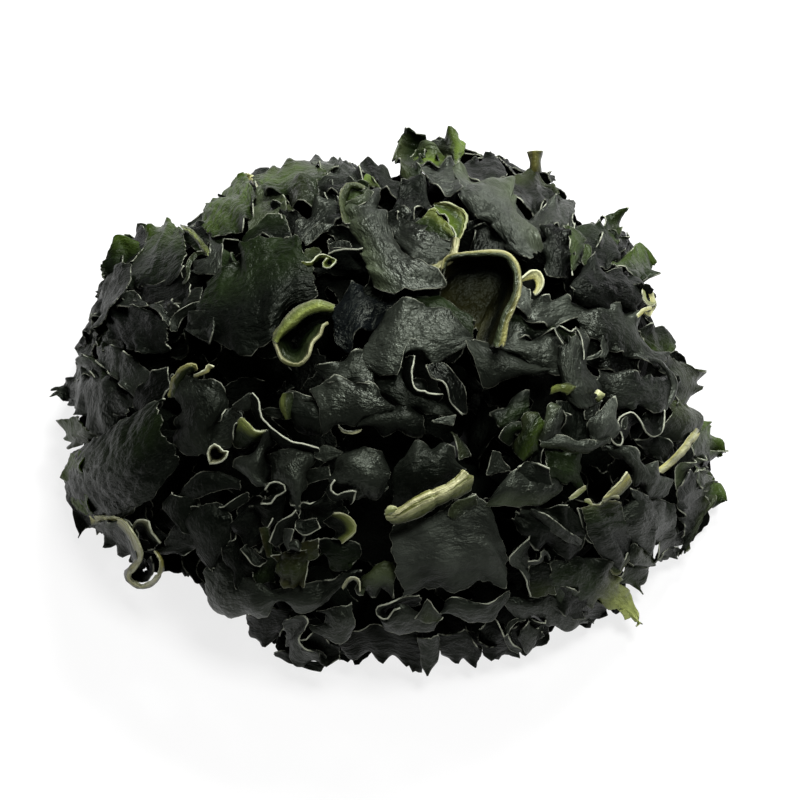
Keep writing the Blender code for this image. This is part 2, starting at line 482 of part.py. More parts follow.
        [(514, 512, 8), (523, 520, 9), (529, 536, 10), (518, 548, 10), (509, 560, 10), (522, 572, 10),
         (529, 597, 9)],
        [(518, 514, 7), (528, 524, 8), (530, 538, 9), (524, 549, 9), (518, 560, 9), (527, 572, 9),
         (534, 594, 8)],
        [(524, 516, 6), (532, 527, 6), (531, 540, 7), (527, 550, 7), (528, 560, 7), (530, 572, 7),
         (540, 592, 7)],
    ],
    "green_tip": [
        [(552, 566, 8), (570, 560, 9), (590, 560, 9), (606, 568, 9), (616, 580, 9), (628, 598, 8),
         (638, 622, 7)],
        [(552, 580, 9), (566, 578, 10), (582, 579, 11), (598, 585, 11), (610, 594, 10), (622, 606, 8),
         (636, 622, 7)],
        [(554, 595, 8), (566, 598, 8), (580, 600, 8), (594, 601, 8), (606, 603, 8), (620, 613, 7),
         (634, 623, 6)],
    ],
    "low_right": [
        [(505, 596, 7), (530, 600, 8), (552, 598, 8), (568, 612, 8), (588, 615, 7)],
        [(508, 604, 8), (530, 608, 9), (550, 610, 9), (568, 619, 9), (587, 622, 8)],
        [(512, 612, 7), (530, 618, 7), (550, 622, 8), (568, 627, 8), (586, 626, 7)],
    ],
}


def waves(x, counts, sizes, draw):
    """The sum of size · sin(pi · count · x + phase), with a phase drawn for each wave."""
    return sum(k * np.sin(np.pi * c * x + draw.uniform(0, 2 * np.pi)) for c, k in zip(counts, sizes))


def blade_outline(s, t, draw, corner, torn):
    """The flat blade: (s, t) in -1..1 squeezed to rounder corners and a torn border."""
    along = s * np.sqrt(1 - corner * t * t / 2)
    across = t * np.sqrt(1 - corner * s * s / 2)
    tears = [torn * waves(x, (0.8, 1.7, 3.3), (0.07, 0.06, 0.04), draw) for x in (s, s, t, t)]
    across = across + np.abs(t) ** 4 * np.where(t > 0, tears[0], -tears[1])
    along = along + 0.5 * np.abs(s) ** 4 * np.where(s > 0, tears[2], -tears[3])
    return along, across


def turn(axis, angle):
    """A rotation matrix about one of the three axes."""
    return np.array(Matrix.Rotation(angle, 3, "XYZ"[axis]))


def midrib(length, draw, bend=0, twist=0, snake=0, stations=41):
    """Points and frames along the leaf's middle; each step turns by its share of the bends."""
    u = np.linspace(-1.3, 1.3, stations)
    step = u[1] - u[0]
    phase = draw.uniform(0, 2 * np.pi)
    lift = np.radians(bend) / 2 + np.radians(snake) * np.pi * np.cos(1.5 * np.pi * u + phase)
    roll = np.radians(twist) / 2
    frames, points = np.zeros((stations, 3, 3)), np.zeros((stations, 3))
    middle = stations // 2
    frames[middle] = np.eye(3)
    for way in (1, -1):
        last = stations - 1 if way > 0 else 0
        for k in range(middle, last, way):
            frames[k + way] = frames[k] @ turn(1, way * lift[k] * step) @ turn(0, way * roll * step)
            mean = (frames[k][:, 0] + frames[k + way][:, 0]) / 2
            points[k + way] = points[k] + way * mean * step * length / 2
    return u, points, frames


def blade_surface(along, across, length, width, draw, cup=0, fold=0, frill=0, **bends):
    """The bent blade: its cross-section turns by cup and fold, and its border waves by frill."""
    u, points, frames = midrib(length, draw, **bends)
    phase = draw.uniform(0, 2 * np.pi, 3)
    shares = (np.arange(12) + 0.5) / 12
    y = across[None] * shares[:, None, None]
    slope = np.radians(cup) / 2 * y + np.radians(fold) * np.sin(np.pi * y + phase[0] + along[None])
    wide = width / 2 * across * np.cos(slope).mean(axis=0)
    high = -width / 2 * across * np.sin(slope).mean(axis=0)
    ripple = np.sin(FRILL_TURNS * along + np.where(across > 0, *phase[1:]))
    high = high + frill * np.abs(across) ** 2 * ripple

    def station(values):
        return np.stack([np.interp(along, u, values[:, k]) for k in range(3)], axis=-1)

    return (station(points) + wide[..., None] * station(frames[:, :, 1])
            + high[..., None] * station(frames[:, :, 2]))


def inside_mound(points):
    """Below 0 inside the mound, and 0 on it: x² + y² + |z|^SHOULDER - 1 in shares of its size."""
    x, y, z = (points / MOUND).T
    return x * x + y * y + np.abs(z) ** SHOULDER - 1


def depth(points):
    """How deep points lie in the core, as a share of its size: above 0 inside it."""
    return -inside_mound(points / CORE_SHARE)


def mound_normal(point):
    """The unit gradient of inside_mound."""
    x, y, z = point / MOUND
    gradient = np.array([2 * x, 2 * y, SHOULDER * max(z, 0) ** (SHOULDER - 1)]) / MOUND
    return gradient / np.linalg.norm(gradient)


def seat(across, up):
    """Where the line of sight through a place in the view plane meets the mound, or comes nearest."""
    sight = across * RIGHT + up * UPWARD - VIEWPOINT
    sight = sight / np.linalg.norm(sight)
    reach = np.linspace(VIEW_DISTANCE - 130, VIEW_DISTANCE + 130, 1041)
    points = VIEWPOINT + reach[:, None] * sight
    excess = np.where(points[:, 2] < 0, 9, inside_mound(points))
    hits = np.flatnonzero(excess < 0)
    point = points[hits[0] if len(hits) else excess.argmin()]
    point[2] = max(point[2], 1.0)
    return point


def leaf_frame(normal, length_way, pitch, yaw):
    """The turn that lays a leaf's length along length_way and its face along normal, then tips it."""
    normal = normal / np.linalg.norm(normal)
    along = length_way - normal * (length_way @ normal)
    along = along / np.linalg.norm(along)
    return np.stack([along, np.cross(normal, along), normal], axis=1) @ turn(1, pitch) @ turn(0, yaw)


def grid_mesh(name, length, width, cell, surface):
    """A triangulated grid whose points follow surface(s, t), in metres."""
    cells_long = int(np.clip(round(length / cell), FEWEST_CELLS, MOST_LONG))
    cells_wide = int(np.clip(round(width / cell), FEWEST_CELLS, MOST_WIDE))
    grid = bmesh.new()
    bmesh.ops.create_grid(grid, x_segments=cells_long, y_segments=cells_wide, size=1)
    bmesh.ops.triangulate(grid, faces=grid.faces[:])
    mesh = bpy.data.meshes.new(name)
    grid.to_mesh(mesh)
    grid.free()
    flat = np.empty(3 * len(mesh.vertices))
    mesh.vertices.foreach_get("co", flat)
    s, t, _ = flat.reshape(-1, 3).T
    points = surface(s[None], t[None])[0]
    mesh.vertices.foreach_set("co", (points * MM).ravel())
    return mesh


def make_leaf(name, seed, place, normal, length_way, size, tip, cell, form, outline, home):
    """One leaf solid in the collection home, lowered until it is rooted in the core."""
    draw = np.random.default_rng(seed)
    length, width = size

    def surface(s, t):
        along, across = blade_outline(s, t, draw, **outline)
        return blade_surface(along, across, length, width, draw, **form)

    mesh = grid_mesh(name, length, width, cell, surface)
    leaf = bpy.data.objects.new(name, mesh)
    home.objects.link(leaf)
    frame = leaf_frame(normal, length_way, *np.radians(tip))
    flat = np.empty(3 * len(mesh.vertices))
    mesh.vertices.foreach_get("co", flat)
    turned = flat.reshape(-1, 3) @ frame.T / MM
    raise_by = max(0, FLOOR_GAP + LEAF_THICKNESS / 2 - (turned + place)[:, 2].min())
    place = place + [0, 0, raise_by]
    while np.sum(depth(turned + place) > ROOTED_DEPTH) < ROOTED_POINTS:
        place = place - LOWERING * mound_normal(place) * [1, 1, 0 if raise_by else 1]
    leaf.matrix_world = Matrix.Translation(place * MM) @ Matrix(frame.tolist()).to_4x4()
    thicken(leaf)


def thicken(leaf):
    """Gives the leaf's surface its thickness, half to either side."""
    skin = leaf.modifiers.new("thickness", "SOLIDIFY")
    skin.thickness = LEAF_THICKNESS * MM
    skin.offset = 0


def line_points(line, count=LINE_POINTS):
    """Points at equal steps along a smooth curve through a line's places, and one more past each end."""
    knots = []
    for right, down, out in line:
        point = seat((right - PAPER_MIDDLE[0]) * SQUARE, (PAPER_MIDDLE[1] - down) * SQUARE)
        sight = VIEWPOINT - point
        knots.append(point + out * sight / np.linalg.norm(sight))
    knots = np.array([2 * knots[0] - knots[1], *knots, 2 * knots[-1] - knots[-2]])
    place = np.linspace(0, len(line) - 1, 12 * len(line))
    first = np.minimum(place.astype(int), len(line) - 2)
    f = (place - first)[:, None]
    a, b, c, d = (knots[first + k] for k in range(4))
    curve = b + 0.5 * f * (c - a + f * (2 * a - 5 * b + 4 * c - d + f * (3 * (b - c) + d - a)))
    reach = np.concatenate([[0], np.cumsum(np.linalg.norm(np.diff(curve, axis=0), axis=1))])
    steps = np.linspace(0, reach[-1], count)
    curve = np.stack([np.interp(steps, reach, curve[:, k]) for k in range(3)], axis=1)
    return np.array([2 * curve[0] - curve[1], *curve, 2 * curve[-1] - curve[-2]]), reach[-1]


def between_lines(along, across, curves):
    """The surface through the curves: at each station, the polynomial across that meets every curve."""
    step = 2 / (LINE_POINTS - 1)
    stations = np.linspace(-1 - step, 1 + step, LINE_POINTS + 2)
    nodes = np.linspace(-1, 1, len(curves))
    surface = 0
    for k, curve in enumerate(curves):
        share = np.prod([(across - node) / (nodes[k] - node) for node in np.delete(nodes, k)], axis=0)
        point = np.stack([np.interp(along, stations, curve[:, axis]) for axis in range(3)], axis=-1)
        surface = surface + share[..., None] * point
    return surface


def root_border(points, s, t):
    """The border that lies nearest to the core goes on down into it, unless the leaf meets it already."""
    if np.sum(depth(points) > ROOTED_DEPTH) >= ROOTED_POINTS:
        return points
    borders = [np.isclose(line, end) for line in (s, t) for end in (-1, 1)]
    nearest = max(borders, key=lambda border: depth(points[border]).mean())
    points = points.copy()
    for k in np.flatnonzero(nearest):
        while depth(points[k]) < ROOT_REACH * ROOTED_DEPTH and points[k, 2] > 2 * FLOOR_GAP:
            points[k] -= LOWERING * mound_normal(points[k])
    return points


def drawn_leaves(home):
    """The leaves that show, each lofted between its lines."""
    for row, (name, lines) in enumerate(LEAVES.items()):
        draw = np.random.default_rng(row)
        curves, lengths = zip(*[line_points(line) for line in lines])
        gaps = np.linalg.norm(np.diff([curve[1:-1] for curve in curves], axis=0), axis=2)

        def surface(s, t):
            along, across = blade_outline(s, t, draw, **DRAWN_OUTLINE)
            points = between_lines(along, across, curves)[0]
            points[:, 2] = np.maximum(points[:, 2], FLOOR_GAP + LEAF_THICKNESS / 2)
            return root_border(points, s[0], t[0])[None]

        mesh = grid_mesh(name, np.mean(lengths), gaps.sum(axis=0).mean(), CELL, surface)
        leaf = bpy.data.objects.new(name, mesh)
        home.objects.link(leaf)
        thicken(leaf)


def spread_leaves(home):
    """Leaves on the back and the low flanks, turned by the golden angle from one to the next."""
    draw = np.random.default_rng(7)
    for k in range(SPREAD_COUNT):
        height = ((k + 0.5) / SPREAD_COUNT) ** 0.9
        reach = math.sqrt(1 - height ** SHOULDER)
        turned = k * GOLDEN_ANGLE
        point = np.array([math.cos(turned) * reach, math.sin(turned) * reach, height]) * MOUND
        normal = mound_normal(point)
        length = draw.uniform(*SPREAD_LENGTH)
        size = (length, length * draw.uniform(*SPREAD_SLENDERNESS))
        length_way, tip = draw.normal(size=3), draw.normal(0, SPREAD_LEAN, 2)
        sink = draw.uniform(*SPREAD_SINK)
        if normal @ TOWARD > FRONT_COVER and height > LOW_FLANK:
            continue
        make_leaf(f"spread_{k}", 500 + k, point - normal * sink, normal, length_way, size, tip, SPREAD_CELL,
                  FORMS[k % len(FORMS)], SPREAD_OUTLINE, home)


def make_core(home):
    """The lumpy dome under the leaves, cut flat and closed at the base."""
    dome = bmesh.new()
    bmesh.ops.create_uvsphere(dome, u_segments=CORE_SIDES, v_segments=CORE_RINGS, radius=1)
    middle = dome.verts[:] + dome.edges[:] + dome.faces[:]
    bmesh.ops.bisect_plane(dome, geom=middle, plane_no=(0, 0, 1), clear_inner=True)
    bmesh.ops.holes_fill(dome, edges=[edge for edge in dome.edges if edge.is_boundary])
    core = bpy.data.meshes.new("wakame_heap")
    dome.to_mesh(core)
    dome.free()
    flat = np.empty(3 * len(core.vertices))
    core.vertices.foreach_get("co", flat)
    unit = flat.reshape(-1, 3)
    draw = np.random.default_rng(2)
    ways = draw.normal(size=(LUMP_WAVES, 3))
    ways = ways / np.linalg.norm(ways, axis=1)[:, None] * LUMP_TURNS
    lumps = np.sin(unit @ ways.T + draw.uniform(0, 2 * np.pi, LUMP_WAVES)).sum(axis=1)
    points = unit.copy()
    points[:, 2] = np.clip(unit[:, 2], 0, 1) ** (2 / SHOULDER)
    points = points * MOUND * CORE_SHARE * (1 + LUMP_HEIGHT / MOUND.mean() * lumps)[:, None]
    core.vertices.foreach_set("co", (points * MM).ravel())
    heap = bpy.data.objects.new("wakame_heap", core)
    home.objects.link(heap)
    return heap


def apply_modifiers(piece):
    """The piece's evaluated mesh takes the place of its modifiers."""
    bpy.context.view_layer.update()
    evaluated = piece.evaluated_get(bpy.context.evaluated_depsgraph_get())
    mesh = bpy.data.meshes.new_from_object(evaluated)
    mesh.name = piece.data.name
    piece.modifiers.clear()
    piece.data = mesh


def keep_outer_body(piece):
    """Keeps the largest connected body: sealed hollows are filled and loose scraps dropped."""
    body = bmesh.new()
    body.from_mesh(piece.data)
    waiting, groups = set(body.verts), []
    while waiting:
        group, edge = set(), [waiting.pop()]
        while edge:
            vertex = edge.pop()
            group.add(vertex)
            near = {link.other_vert(vertex) for link in vertex.link_edges} & waiting
            waiting -= near
            edge.extend(near)
        groups.append(group)
    groups.sort(key=len)
    bmesh.ops.delete(body, geom=[vertex for group in groups[:-1] for vertex in group], context="VERTS")
    body.to_mesh(piece.data)
    body.free()


def wakame_material():
    """Dark green-black leaf with a satin sheen."""
    material = bpy.data.materials.new("wakame")
    material.use_nodes = True
    shader = material.node_tree.nodes["Principled BSDF"]
    shader.inputs["Base Color"].default_value = (0.016, 0.021, 0.014, 1)
    shader.inputs["Roughness"].default_value = 0.5
    shader.inputs["Metallic"].default_value = 0
    return material


def main():
    for piece in list(bpy.data.objects):
        bpy.data.objects.remove(piece, do_unlink=True)
    parts = bpy.data.collections.new("dried_wakame")
    leaves = bpy.data.collections.new("leaves")
    for collection in (parts, leaves):
        bpy.context.scene.collection.children.link(collection)
    heap = make_core(parts)
    drawn_leaves(leaves)
    spread_leaves(leaves)
    for leaf in leaves.objects:
        apply_modifiers(leaf)
    union = heap.modifiers.new("leaves fused on", "BOOLEAN")
    union.operation = "UNION"
    union.operand_type = "COLLECTION"
    union.collection = leaves
    union.solver = "MANIFOLD"
    apply_modifiers(heap)
    for leaf in list(leaves.objects):
        bpy.data.objects.remove(leaf, do_unlink=True)
    bpy.data.collections.remove(leaves)
    keep_outer_body(heap)
    heap.data.materials.clear()
    heap.data.materials.append(wakame_material())


main()
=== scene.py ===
# %% [markdown]
# # A heap of dried wakame
# Dried wakame is a seaweed whose thin leaves curl, fold and tear as they dry. They turn nearly black, and
# stay green where they are thin and yellow-green along the thick midribs. The heap is a mound of such
# leaves.
#
# Every leaf here is one idea: a flat, torn outline that is bent along its length and rolled across its
# width. That is worked out with numpy on a grid, so one set of functions makes a flat sheet, a scroll or a
# tight curl.

import zlib
from functools import partial

import bpy
import numpy as np
from mathutils import Matrix, Vector


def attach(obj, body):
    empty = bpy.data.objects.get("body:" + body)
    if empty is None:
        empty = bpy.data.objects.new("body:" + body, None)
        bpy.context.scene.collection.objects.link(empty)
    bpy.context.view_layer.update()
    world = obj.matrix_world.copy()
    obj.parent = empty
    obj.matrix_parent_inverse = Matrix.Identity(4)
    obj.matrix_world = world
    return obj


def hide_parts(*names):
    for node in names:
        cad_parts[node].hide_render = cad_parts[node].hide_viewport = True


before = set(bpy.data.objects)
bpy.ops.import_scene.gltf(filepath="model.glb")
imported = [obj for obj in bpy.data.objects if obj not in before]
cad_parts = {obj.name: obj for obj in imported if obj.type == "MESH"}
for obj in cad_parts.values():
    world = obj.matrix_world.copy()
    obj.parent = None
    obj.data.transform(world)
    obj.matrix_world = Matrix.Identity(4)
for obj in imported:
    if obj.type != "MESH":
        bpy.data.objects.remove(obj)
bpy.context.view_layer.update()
MM = 0.001
TURN = 6.283  # rad, a whole turn
TINY = 1e-9

# %% [markdown]
# ## The mound and the place of a leaf
# The leaves lie on a mound: a dome that is a little longer than deep and whose flanks are steeper than an
# ellipsoid's. It is easiest to lay leaves out the way they are seen, so a leaf's place is given in
# millimetres across and up from the middle of the base, in a plane that faces a viewpoint in front of the
# heap and above it. The line of sight through that place then meets the mound where the leaf lies.

# %% The mound
MOUND = np.array([77.0, 69.0, 63.0])  # mm, half its length, half its depth and its height
SHOULDER = 2.2  # the power that makes the flanks steep
VIEW_TILT, VIEW_DISTANCE, VIEW_CENTRE = np.radians(50.0), 460.0, (2.4, 7.3)
RIGHT = np.array([1.0, 0.0, 0.0])
UPWARD = np.array([0.0, np.sin(VIEW_TILT), np.cos(VIEW_TILT)])
TOWARD = np.array([0.0, -np.cos(VIEW_TILT), np.sin(VIEW_TILT)])
AIM = VIEW_CENTRE[0] * RIGHT + VIEW_CENTRE[1] * UPWARD
VIEWPOINT = AIM + VIEW_DISTANCE * TOWARD
SEARCH = 130  # mm that a sight line is followed before and behind the middle


def inside_mound(points):
    """Below 0 inside the mound and 0 on it: x² + y² + |z|^SHOULDER - 1, in shares of its three sizes."""
    x, y, z = (points / MOUND).T
    return x * x + y * y + np.abs(z) ** SHOULDER - 1


def mound_normal(point):
    """The unit gradient of inside_mound."""
    x, y, z = point / MOUND
    gradient = np.array([2 * x, 2 * y, SHOULDER * max(z, 0) ** (SHOULDER - 1)]) / MOUND
    return gradient / np.linalg.norm(gradient)


def seat(across, up):
    """The first point inside the mound on the line of sight through (across, up), or the nearest to it."""
    sight = across * RIGHT + up * UPWARD - VIEWPOINT
    sight = sight / np.linalg.norm(sight)
    reach = np.linspace(VIEW_DISTANCE - SEARCH, VIEW_DISTANCE + SEARCH, 1041)
    points = VIEWPOINT + reach[:, None] * sight
    depth = np.where(points[:, 2] < 0, 9, inside_mound(points))
    hits = np.flatnonzero(depth < 0)
    point = points[hits[0] if len(hits) else depth.argmin()]
    return np.array([point[0], point[1], max(point[2], 1.0)])


print("40 mm up the sheet the mound is met at", seat(0, 40).round(1), "mm")

# %% [markdown]
# ## A flat, torn blade
# A piece of wakame is torn from a broad frond, so its outline is part rounded, part square, with a few bays
# and points. A square grid (s, t) is squeezed into that outline: the corners are rounded by the
# square-to-disc formula, and the borders are pushed in and out by slow waves, round bays and small tears.
# The grid's lines crowd at the border, so that the thin edge of the blade gets a strip of its own.

# %% The outline


def ease(x):
    """0 below 0, 1 above 1, and 3x² - 2x³ between."""
    x = np.clip(x, 0, 1)
    return x * x * (3 - 2 * x)


def waves(x, counts, sizes, draw):
    """The sum of size · sin(pi · count · x + phase), with every phase drawn."""
    return sum(k * np.sin(np.pi * c * x + draw.uniform(0, TURN)) for c, k in zip(counts, sizes))


def border(x, torn, bays, points, draw):
    """How far a border stands out at x in -1..1: slow waves + fine tears + spikes - round bays."""
    reach = torn * waves(x, (0.8, 1.7, 3.3, 6.1, 12.3), (0.07, 0.055, 0.04, 0.03, 0.022), draw)
    for centre, half, depth in bays:
        reach = reach - depth * np.clip(1 - ((x - centre) / half) ** 2, 0, 1) ** 0.8
    for centre, half, height in points:
        reach = reach + height * np.clip(1 - np.abs(x - centre) / half, 0, 1) ** 1.5
    return reach


def some(draw, count, half, size):
    """A few bays or points, each with its middle, half width and depth drawn."""
    return [(draw.uniform(-0.8, 0.8), draw.uniform(*half), draw.uniform(*size)) for _ in range(count)]


def flat_blade(s, t, draw, corner, torn, bays=None, notches=1, spikes=1):
    """(s, t) to (along, across): s·sqrt(1 - corner·t²/2) and t·sqrt(1 - corner·s²/2), then torn."""
    along = s * np.sqrt(1 - corner * t * t / 2)
    across = t * np.sqrt(1 - corner * s * s / 2)
    sides = []
    for side, x in ((1, s), (-1, s), (1, t), (-1, t)):
        cut = some(draw, draw.integers(notches + 1), (0.12, 0.3), (0.1, 0.3))
        if bays and x is s and side in bays:
            cut = bays[side]
        points = some(draw, draw.integers(spikes + 1), (0.06, 0.14), (0.05, 0.16))
        sides.append(border(x, torn, cut, points, draw))
    across = across + np.abs(t) ** 3 * np.where(t > 0, sides[0], -sides[1])
    along = along + 0.6 * np.abs(s) ** 3 * np.where(s > 0, sides[2], -sides[3])
    return along, across


def crowded(count, rim):
    """count values from -1 to 1 with one more just inside either end, a share rim from it."""
    return np.r_[-1, np.linspace(-1 + rim, 1 - rim, count), 1]


print("a border with 5 lines and a rim of a tenth has", crowded(5, 0.1).round(2))

# %% [markdown]
# ## Bending and rolling the blade
# A dried leaf hardly stretches, so it bends like paper. The middle line gets a heading that changes along
# it, and the cross-section gets an angle that changes across it. Adding up short steps in those directions
# gives the surface, and keeps the leaf's true width and length however tightly it curls.

# %% The midline and the cross-section


def midline(u, half_length, draw, bend=0, twist=0, snake=0):
    """Points and frames along the middle: steps along (cos h, 0, -sin h), summed.

    The heading h is bend/2·u plus a snaking sine, and the frame turns by twist/2·u about the middle.
    """
    h = np.radians(bend) / 2 * u + np.radians(snake) * np.sin(4.6 * u + draw.uniform(0, TURN))
    w = np.radians(twist) / 2 * u
    tangent = np.stack([np.cos(h), 0 * h, -np.sin(h)], axis=1)
    side = np.stack([0 * h, 0 * h + 1, 0 * h], axis=1)
    face = np.cross(tangent, side)
    side, face = (side * np.cos(w)[:, None] + face * np.sin(w)[:, None],
                  face * np.cos(w)[:, None] - side * np.sin(w)[:, None])
    steps = (tangent[1:] + tangent[:-1]) / 2 * (u[1] - u[0]) * half_length
    points = np.vstack([np.zeros(3), np.cumsum(steps, axis=0)])
    return points - points[len(u) // 2], side, face


def section_angle(u, v, phase, cup, flare, curl, folds, opens):
    """The slope of the cross-section at v: cup/2·v + crisp folds + a curl that starts near either border."""
    drift = phase[7] / 3 - 1
    wave = np.sin(np.pi * folds[0] * v + phase[0] + drift * u)
    fine = np.sin(np.pi * 2.2 * folds[0] * v + phase[1] - 1.5 * drift * u)
    fold = np.radians(folds[1]) * np.clip(1 + opens * u, 0.1, 2) * (np.tanh(1.6 * wave) + 0.3 * fine)
    near, far = (1 + 0.3 * np.sin(2.4 * u + phase[k]) for k in (2, 3))
    lip = np.radians(curl[1]) * ease((v - 0.3) / 0.75) * far
    lip = lip - np.radians(curl[0]) * ease((-v - 0.3) / 0.75) * near
    return np.radians(cup) / 2 * v * np.clip(1 + flare * u, 0, 2.5) + fold + lip


def bent_blade(along, across, half_length, half_width, draw, skew=None, cup=0, flare=0, curl=(0, 0),
               folds=(1, 0), opens=0, frill=0, crumple=0, **bends):
    """The blade in space: a point of the midline + the summed cross-section, in axes turned by skew."""
    turn = np.radians(draw.uniform(-24, 24) if skew is None else skew)
    x, y = along * half_length, across * half_width
    u = (x * np.cos(turn) + y * np.sin(turn)) / half_length
    v = (y * np.cos(turn) - x * np.sin(turn)) / half_width
    stations = np.linspace(-1.7, 1.7, 121)
    points, side, face = midline(stations, half_length, draw, **bends)
    phase = draw.uniform(0, TURN, 8)
    shares = (np.arange(24) + 0.5)[:, None, None] / 24
    slope = section_angle(u[None], v[None] * shares, phase, cup, flare, curl, folds, opens)
    slope = slope - 0.8 * section_angle(u, 0 * v, phase, cup, flare, curl, folds, opens)[None]
    wide = half_width * v * np.cos(slope).mean(axis=0)
    high = -half_width * v * np.sin(slope).mean(axis=0)
    frills = half_length / 5.5
    start = np.where(across > 0, phase[4], phase[5])
    ripple = np.sin(np.pi * frills * along + start + 0.8 * np.sin(1.9 * along))
    ripple = ripple + 0.3 * np.sin(2.1 * np.pi * frills * along + phase[6])
    high = high + frill * np.abs(across) ** 2.5 * ripple

    def station(values):
        return np.stack([np.interp(u, stations, values[:, k]) for k in range(3)], axis=-1)

    surface = station(points) + wide[..., None] * station(side) + high[..., None] * station(face)
    creases = creased(x, y, draw, (3.5, 11), shifted=True)
    return surface + grid_normals(surface) * (crumple * creases)[..., None]


def creased(u, v, draw, spacing=(3.0, 10), shifted=False):
    """Fine creases: |sin|-ridges that wander in several directions, over flat coordinates in millimetres."""
    creases = np.zeros_like(u)
    for _ in range(6):
        angle, apart = draw.normal(0, 0.7), draw.uniform(*spacing)
        along, across = u * np.cos(angle) - v * np.sin(angle), u * np.sin(angle) + v * np.cos(angle)
        wander = 0.5 * np.sin(along / apart * 1.7 + draw.uniform(0, TURN))
        phase = draw.uniform(0, TURN) if shifted else 0
        ridge = 1 - np.abs(np.sin(np.pi * (across / apart + wander) + phase))
        creases += ridge ** 2.5 * draw.uniform(0.3, 1)
    return creases - creases.mean()


def grid_normals(surface):
    """Unit normals of a grid: the cross product of its two directions."""
    normals = np.cross(np.gradient(surface, axis=0), np.gradient(surface, axis=1))
    return normals / np.maximum(np.linalg.norm(normals, axis=-1, keepdims=True), TINY)


grid = np.meshgrid(crowded(5, 0.1), crowded(4, 0.1), indexing="ij")
curled = bent_blade(*grid, 10, 5, np.random.default_rng(1), bend=90, cup=180)
print("a blade of 20 by 10 mm, bent and cupped, spans", np.ptp(curled.reshape(-1, 3), axis=0).round(1), "mm")

# %% [markdown]
# ## From a surface to a leaf with two faces
# A real leaf has a thickness, and its cut edge catches the light. The grid is copied a little above and a
# little below itself and the two are joined round the border. A midrib along one border is simply a place
# where the leaf is thicker. Leaves of one kind go into one mesh, with three things stored at every vertex:
# its colour, how much it belongs to a midrib, and how near it is to the thin edge, where the finish paints
# a highlight for the light that the edge catches.

# %% Shell and mesh
BLADE = 0.3  # mm, the thickness of a blade
EDGE_STRIP, EDGE_HIGHLIGHT_WIDTH = 0.7, 0.8  # mm, the outermost strip of the grid, and how far in the painted edge highlight shows
GRAIN = 0.02  # how far the grain map moves for a millimetre of leaf


def shell(surface, thickness):
    """Two copies of the grid, half a thickness out along the normals either way, and a wall round them."""
    normals = grid_normals(surface)
    rows, columns = surface.shape[:2]
    half = normals * thickness[..., None] / 2
    vertices = np.concatenate([(surface + half).reshape(-1, 3), (surface - half).reshape(-1, 3)])
    index = np.arange(rows * columns).reshape(rows, columns)
    cells = np.stack([index[:-1, :-1], index[1:, :-1], index[1:, 1:], index[:-1, 1:]], axis=-1).reshape(-1, 4)
    ring = np.concatenate([index[:-1, 0], index[-1, :-1], index[1:, -1][::-1], index[0, 1:][::-1]])
    after = np.roll(ring, -1)
    wall = np.stack([ring, ring + rows * columns, after + rows * columns, after], axis=-1)
    return vertices, np.concatenate([cells, cells[:, ::-1] + rows * columns, wall])


def ribbed(t, width, rib):
    """The thickness across a leaf and its midrib mark.

    A midrib is (side, width, thickness): along the border t = side the leaf swells to a round bead.
    """
    if not rib:
        return np.full_like(t, BLADE), np.zeros_like(t)
    side, rib_width, bead = rib
    inward = (1 - side * t) * width / 2 / rib_width
    bulge = (bead - BLADE) * np.sqrt(np.clip(1 - ((inward - 0.5) / 0.72) ** 2, 0, 1))
    return BLADE + bulge, ease(1.4 - inward) * np.clip((rib_width - 0.4) / 0.35, 0, 1)


def marked(s, t, length, width, midrib, rib, draw, rim=1.0):
    """What each vertex tells the finish: its midrib mark, its edge mark, and how whole the pale edge is, a
    painted highlight.
    """
    edge = rim * ease(1 - np.minimum((1 - np.abs(s)) * length, (1 - np.abs(t)) * width) / EDGE_HIGHLIGHT_WIDTH)
    whole = np.full_like(s, 1.0 if rib else 0.5 * draw.uniform())
    return np.stack([midrib, edge, whole], axis=-1).reshape(-1, 3)


def flattened(u, v, draw):
    """The leaf's flat coordinates in its grain map, each leaf in a place of its own."""
    return np.stack([u, v], axis=-1).reshape(-1, 2) * GRAIN + draw.uniform(0, 9, 2)


class Kind:
    """The leaves of one kind, gathered until they are made one mesh."""

    def __init__(self, name):
        self.name, self.count, self.total = name, 0, 0
        self.vertices, self.faces, self.tints, self.marks, self.flat = [], [], [], [], []

    def add(self, vertices, faces, tint, marks, flat):
        """Take in one shell; what is stored at its grid points goes to both of its faces."""
        self.vertices.append(vertices)
        self.faces.append(faces + self.total)
        for store, values in ((self.tints, tint), (self.marks, marks), (self.flat, flat)):
            store.append(np.concatenate([values, values]))
        self.total += len(vertices)
        self.count += 1

    def make(self, material):
        """Turn the gathered leaves into one mesh with a tint, marks and a grain map, and place it."""
        mesh = bpy.data.meshes.new(self.name)
        faces = np.concatenate(self.faces)
        mesh.from_pydata((np.concatenate(self.vertices) * MM).tolist(), [], faces.tolist())
        mesh.shade_smooth()
        for name, store in (("tint", self.tints), ("marks", self.marks)):
            values = np.concatenate(store)
            layer = mesh.color_attributes.new(name, "FLOAT_COLOR", "POINT")
            layer.data.foreach_set("color", np.c_[values, np.ones(len(values))].astype(np.float32).ravel())
        grain = mesh.uv_layers.new(name="grain")
        grain.uv.foreach_set("vector", np.concatenate(self.flat)[faces.ravel()].astype(np.float32).ravel())
        mesh.materials.append(material)
        piece = bpy.data.objects.new(self.name, mesh)
        bpy.context.scene.collection.objects.link(piece)
        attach(piece, "root")
        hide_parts("wakame_heap")
        print(self.name, "holds", self.count, "leaves in", 2 * len(faces), "triangles")
        return piece


vertices, faces = shell(curled, np.full(curled.shape[:2], BLADE))
print("as a shell it has", len(vertices), "vertices and", len(faces), "faces")
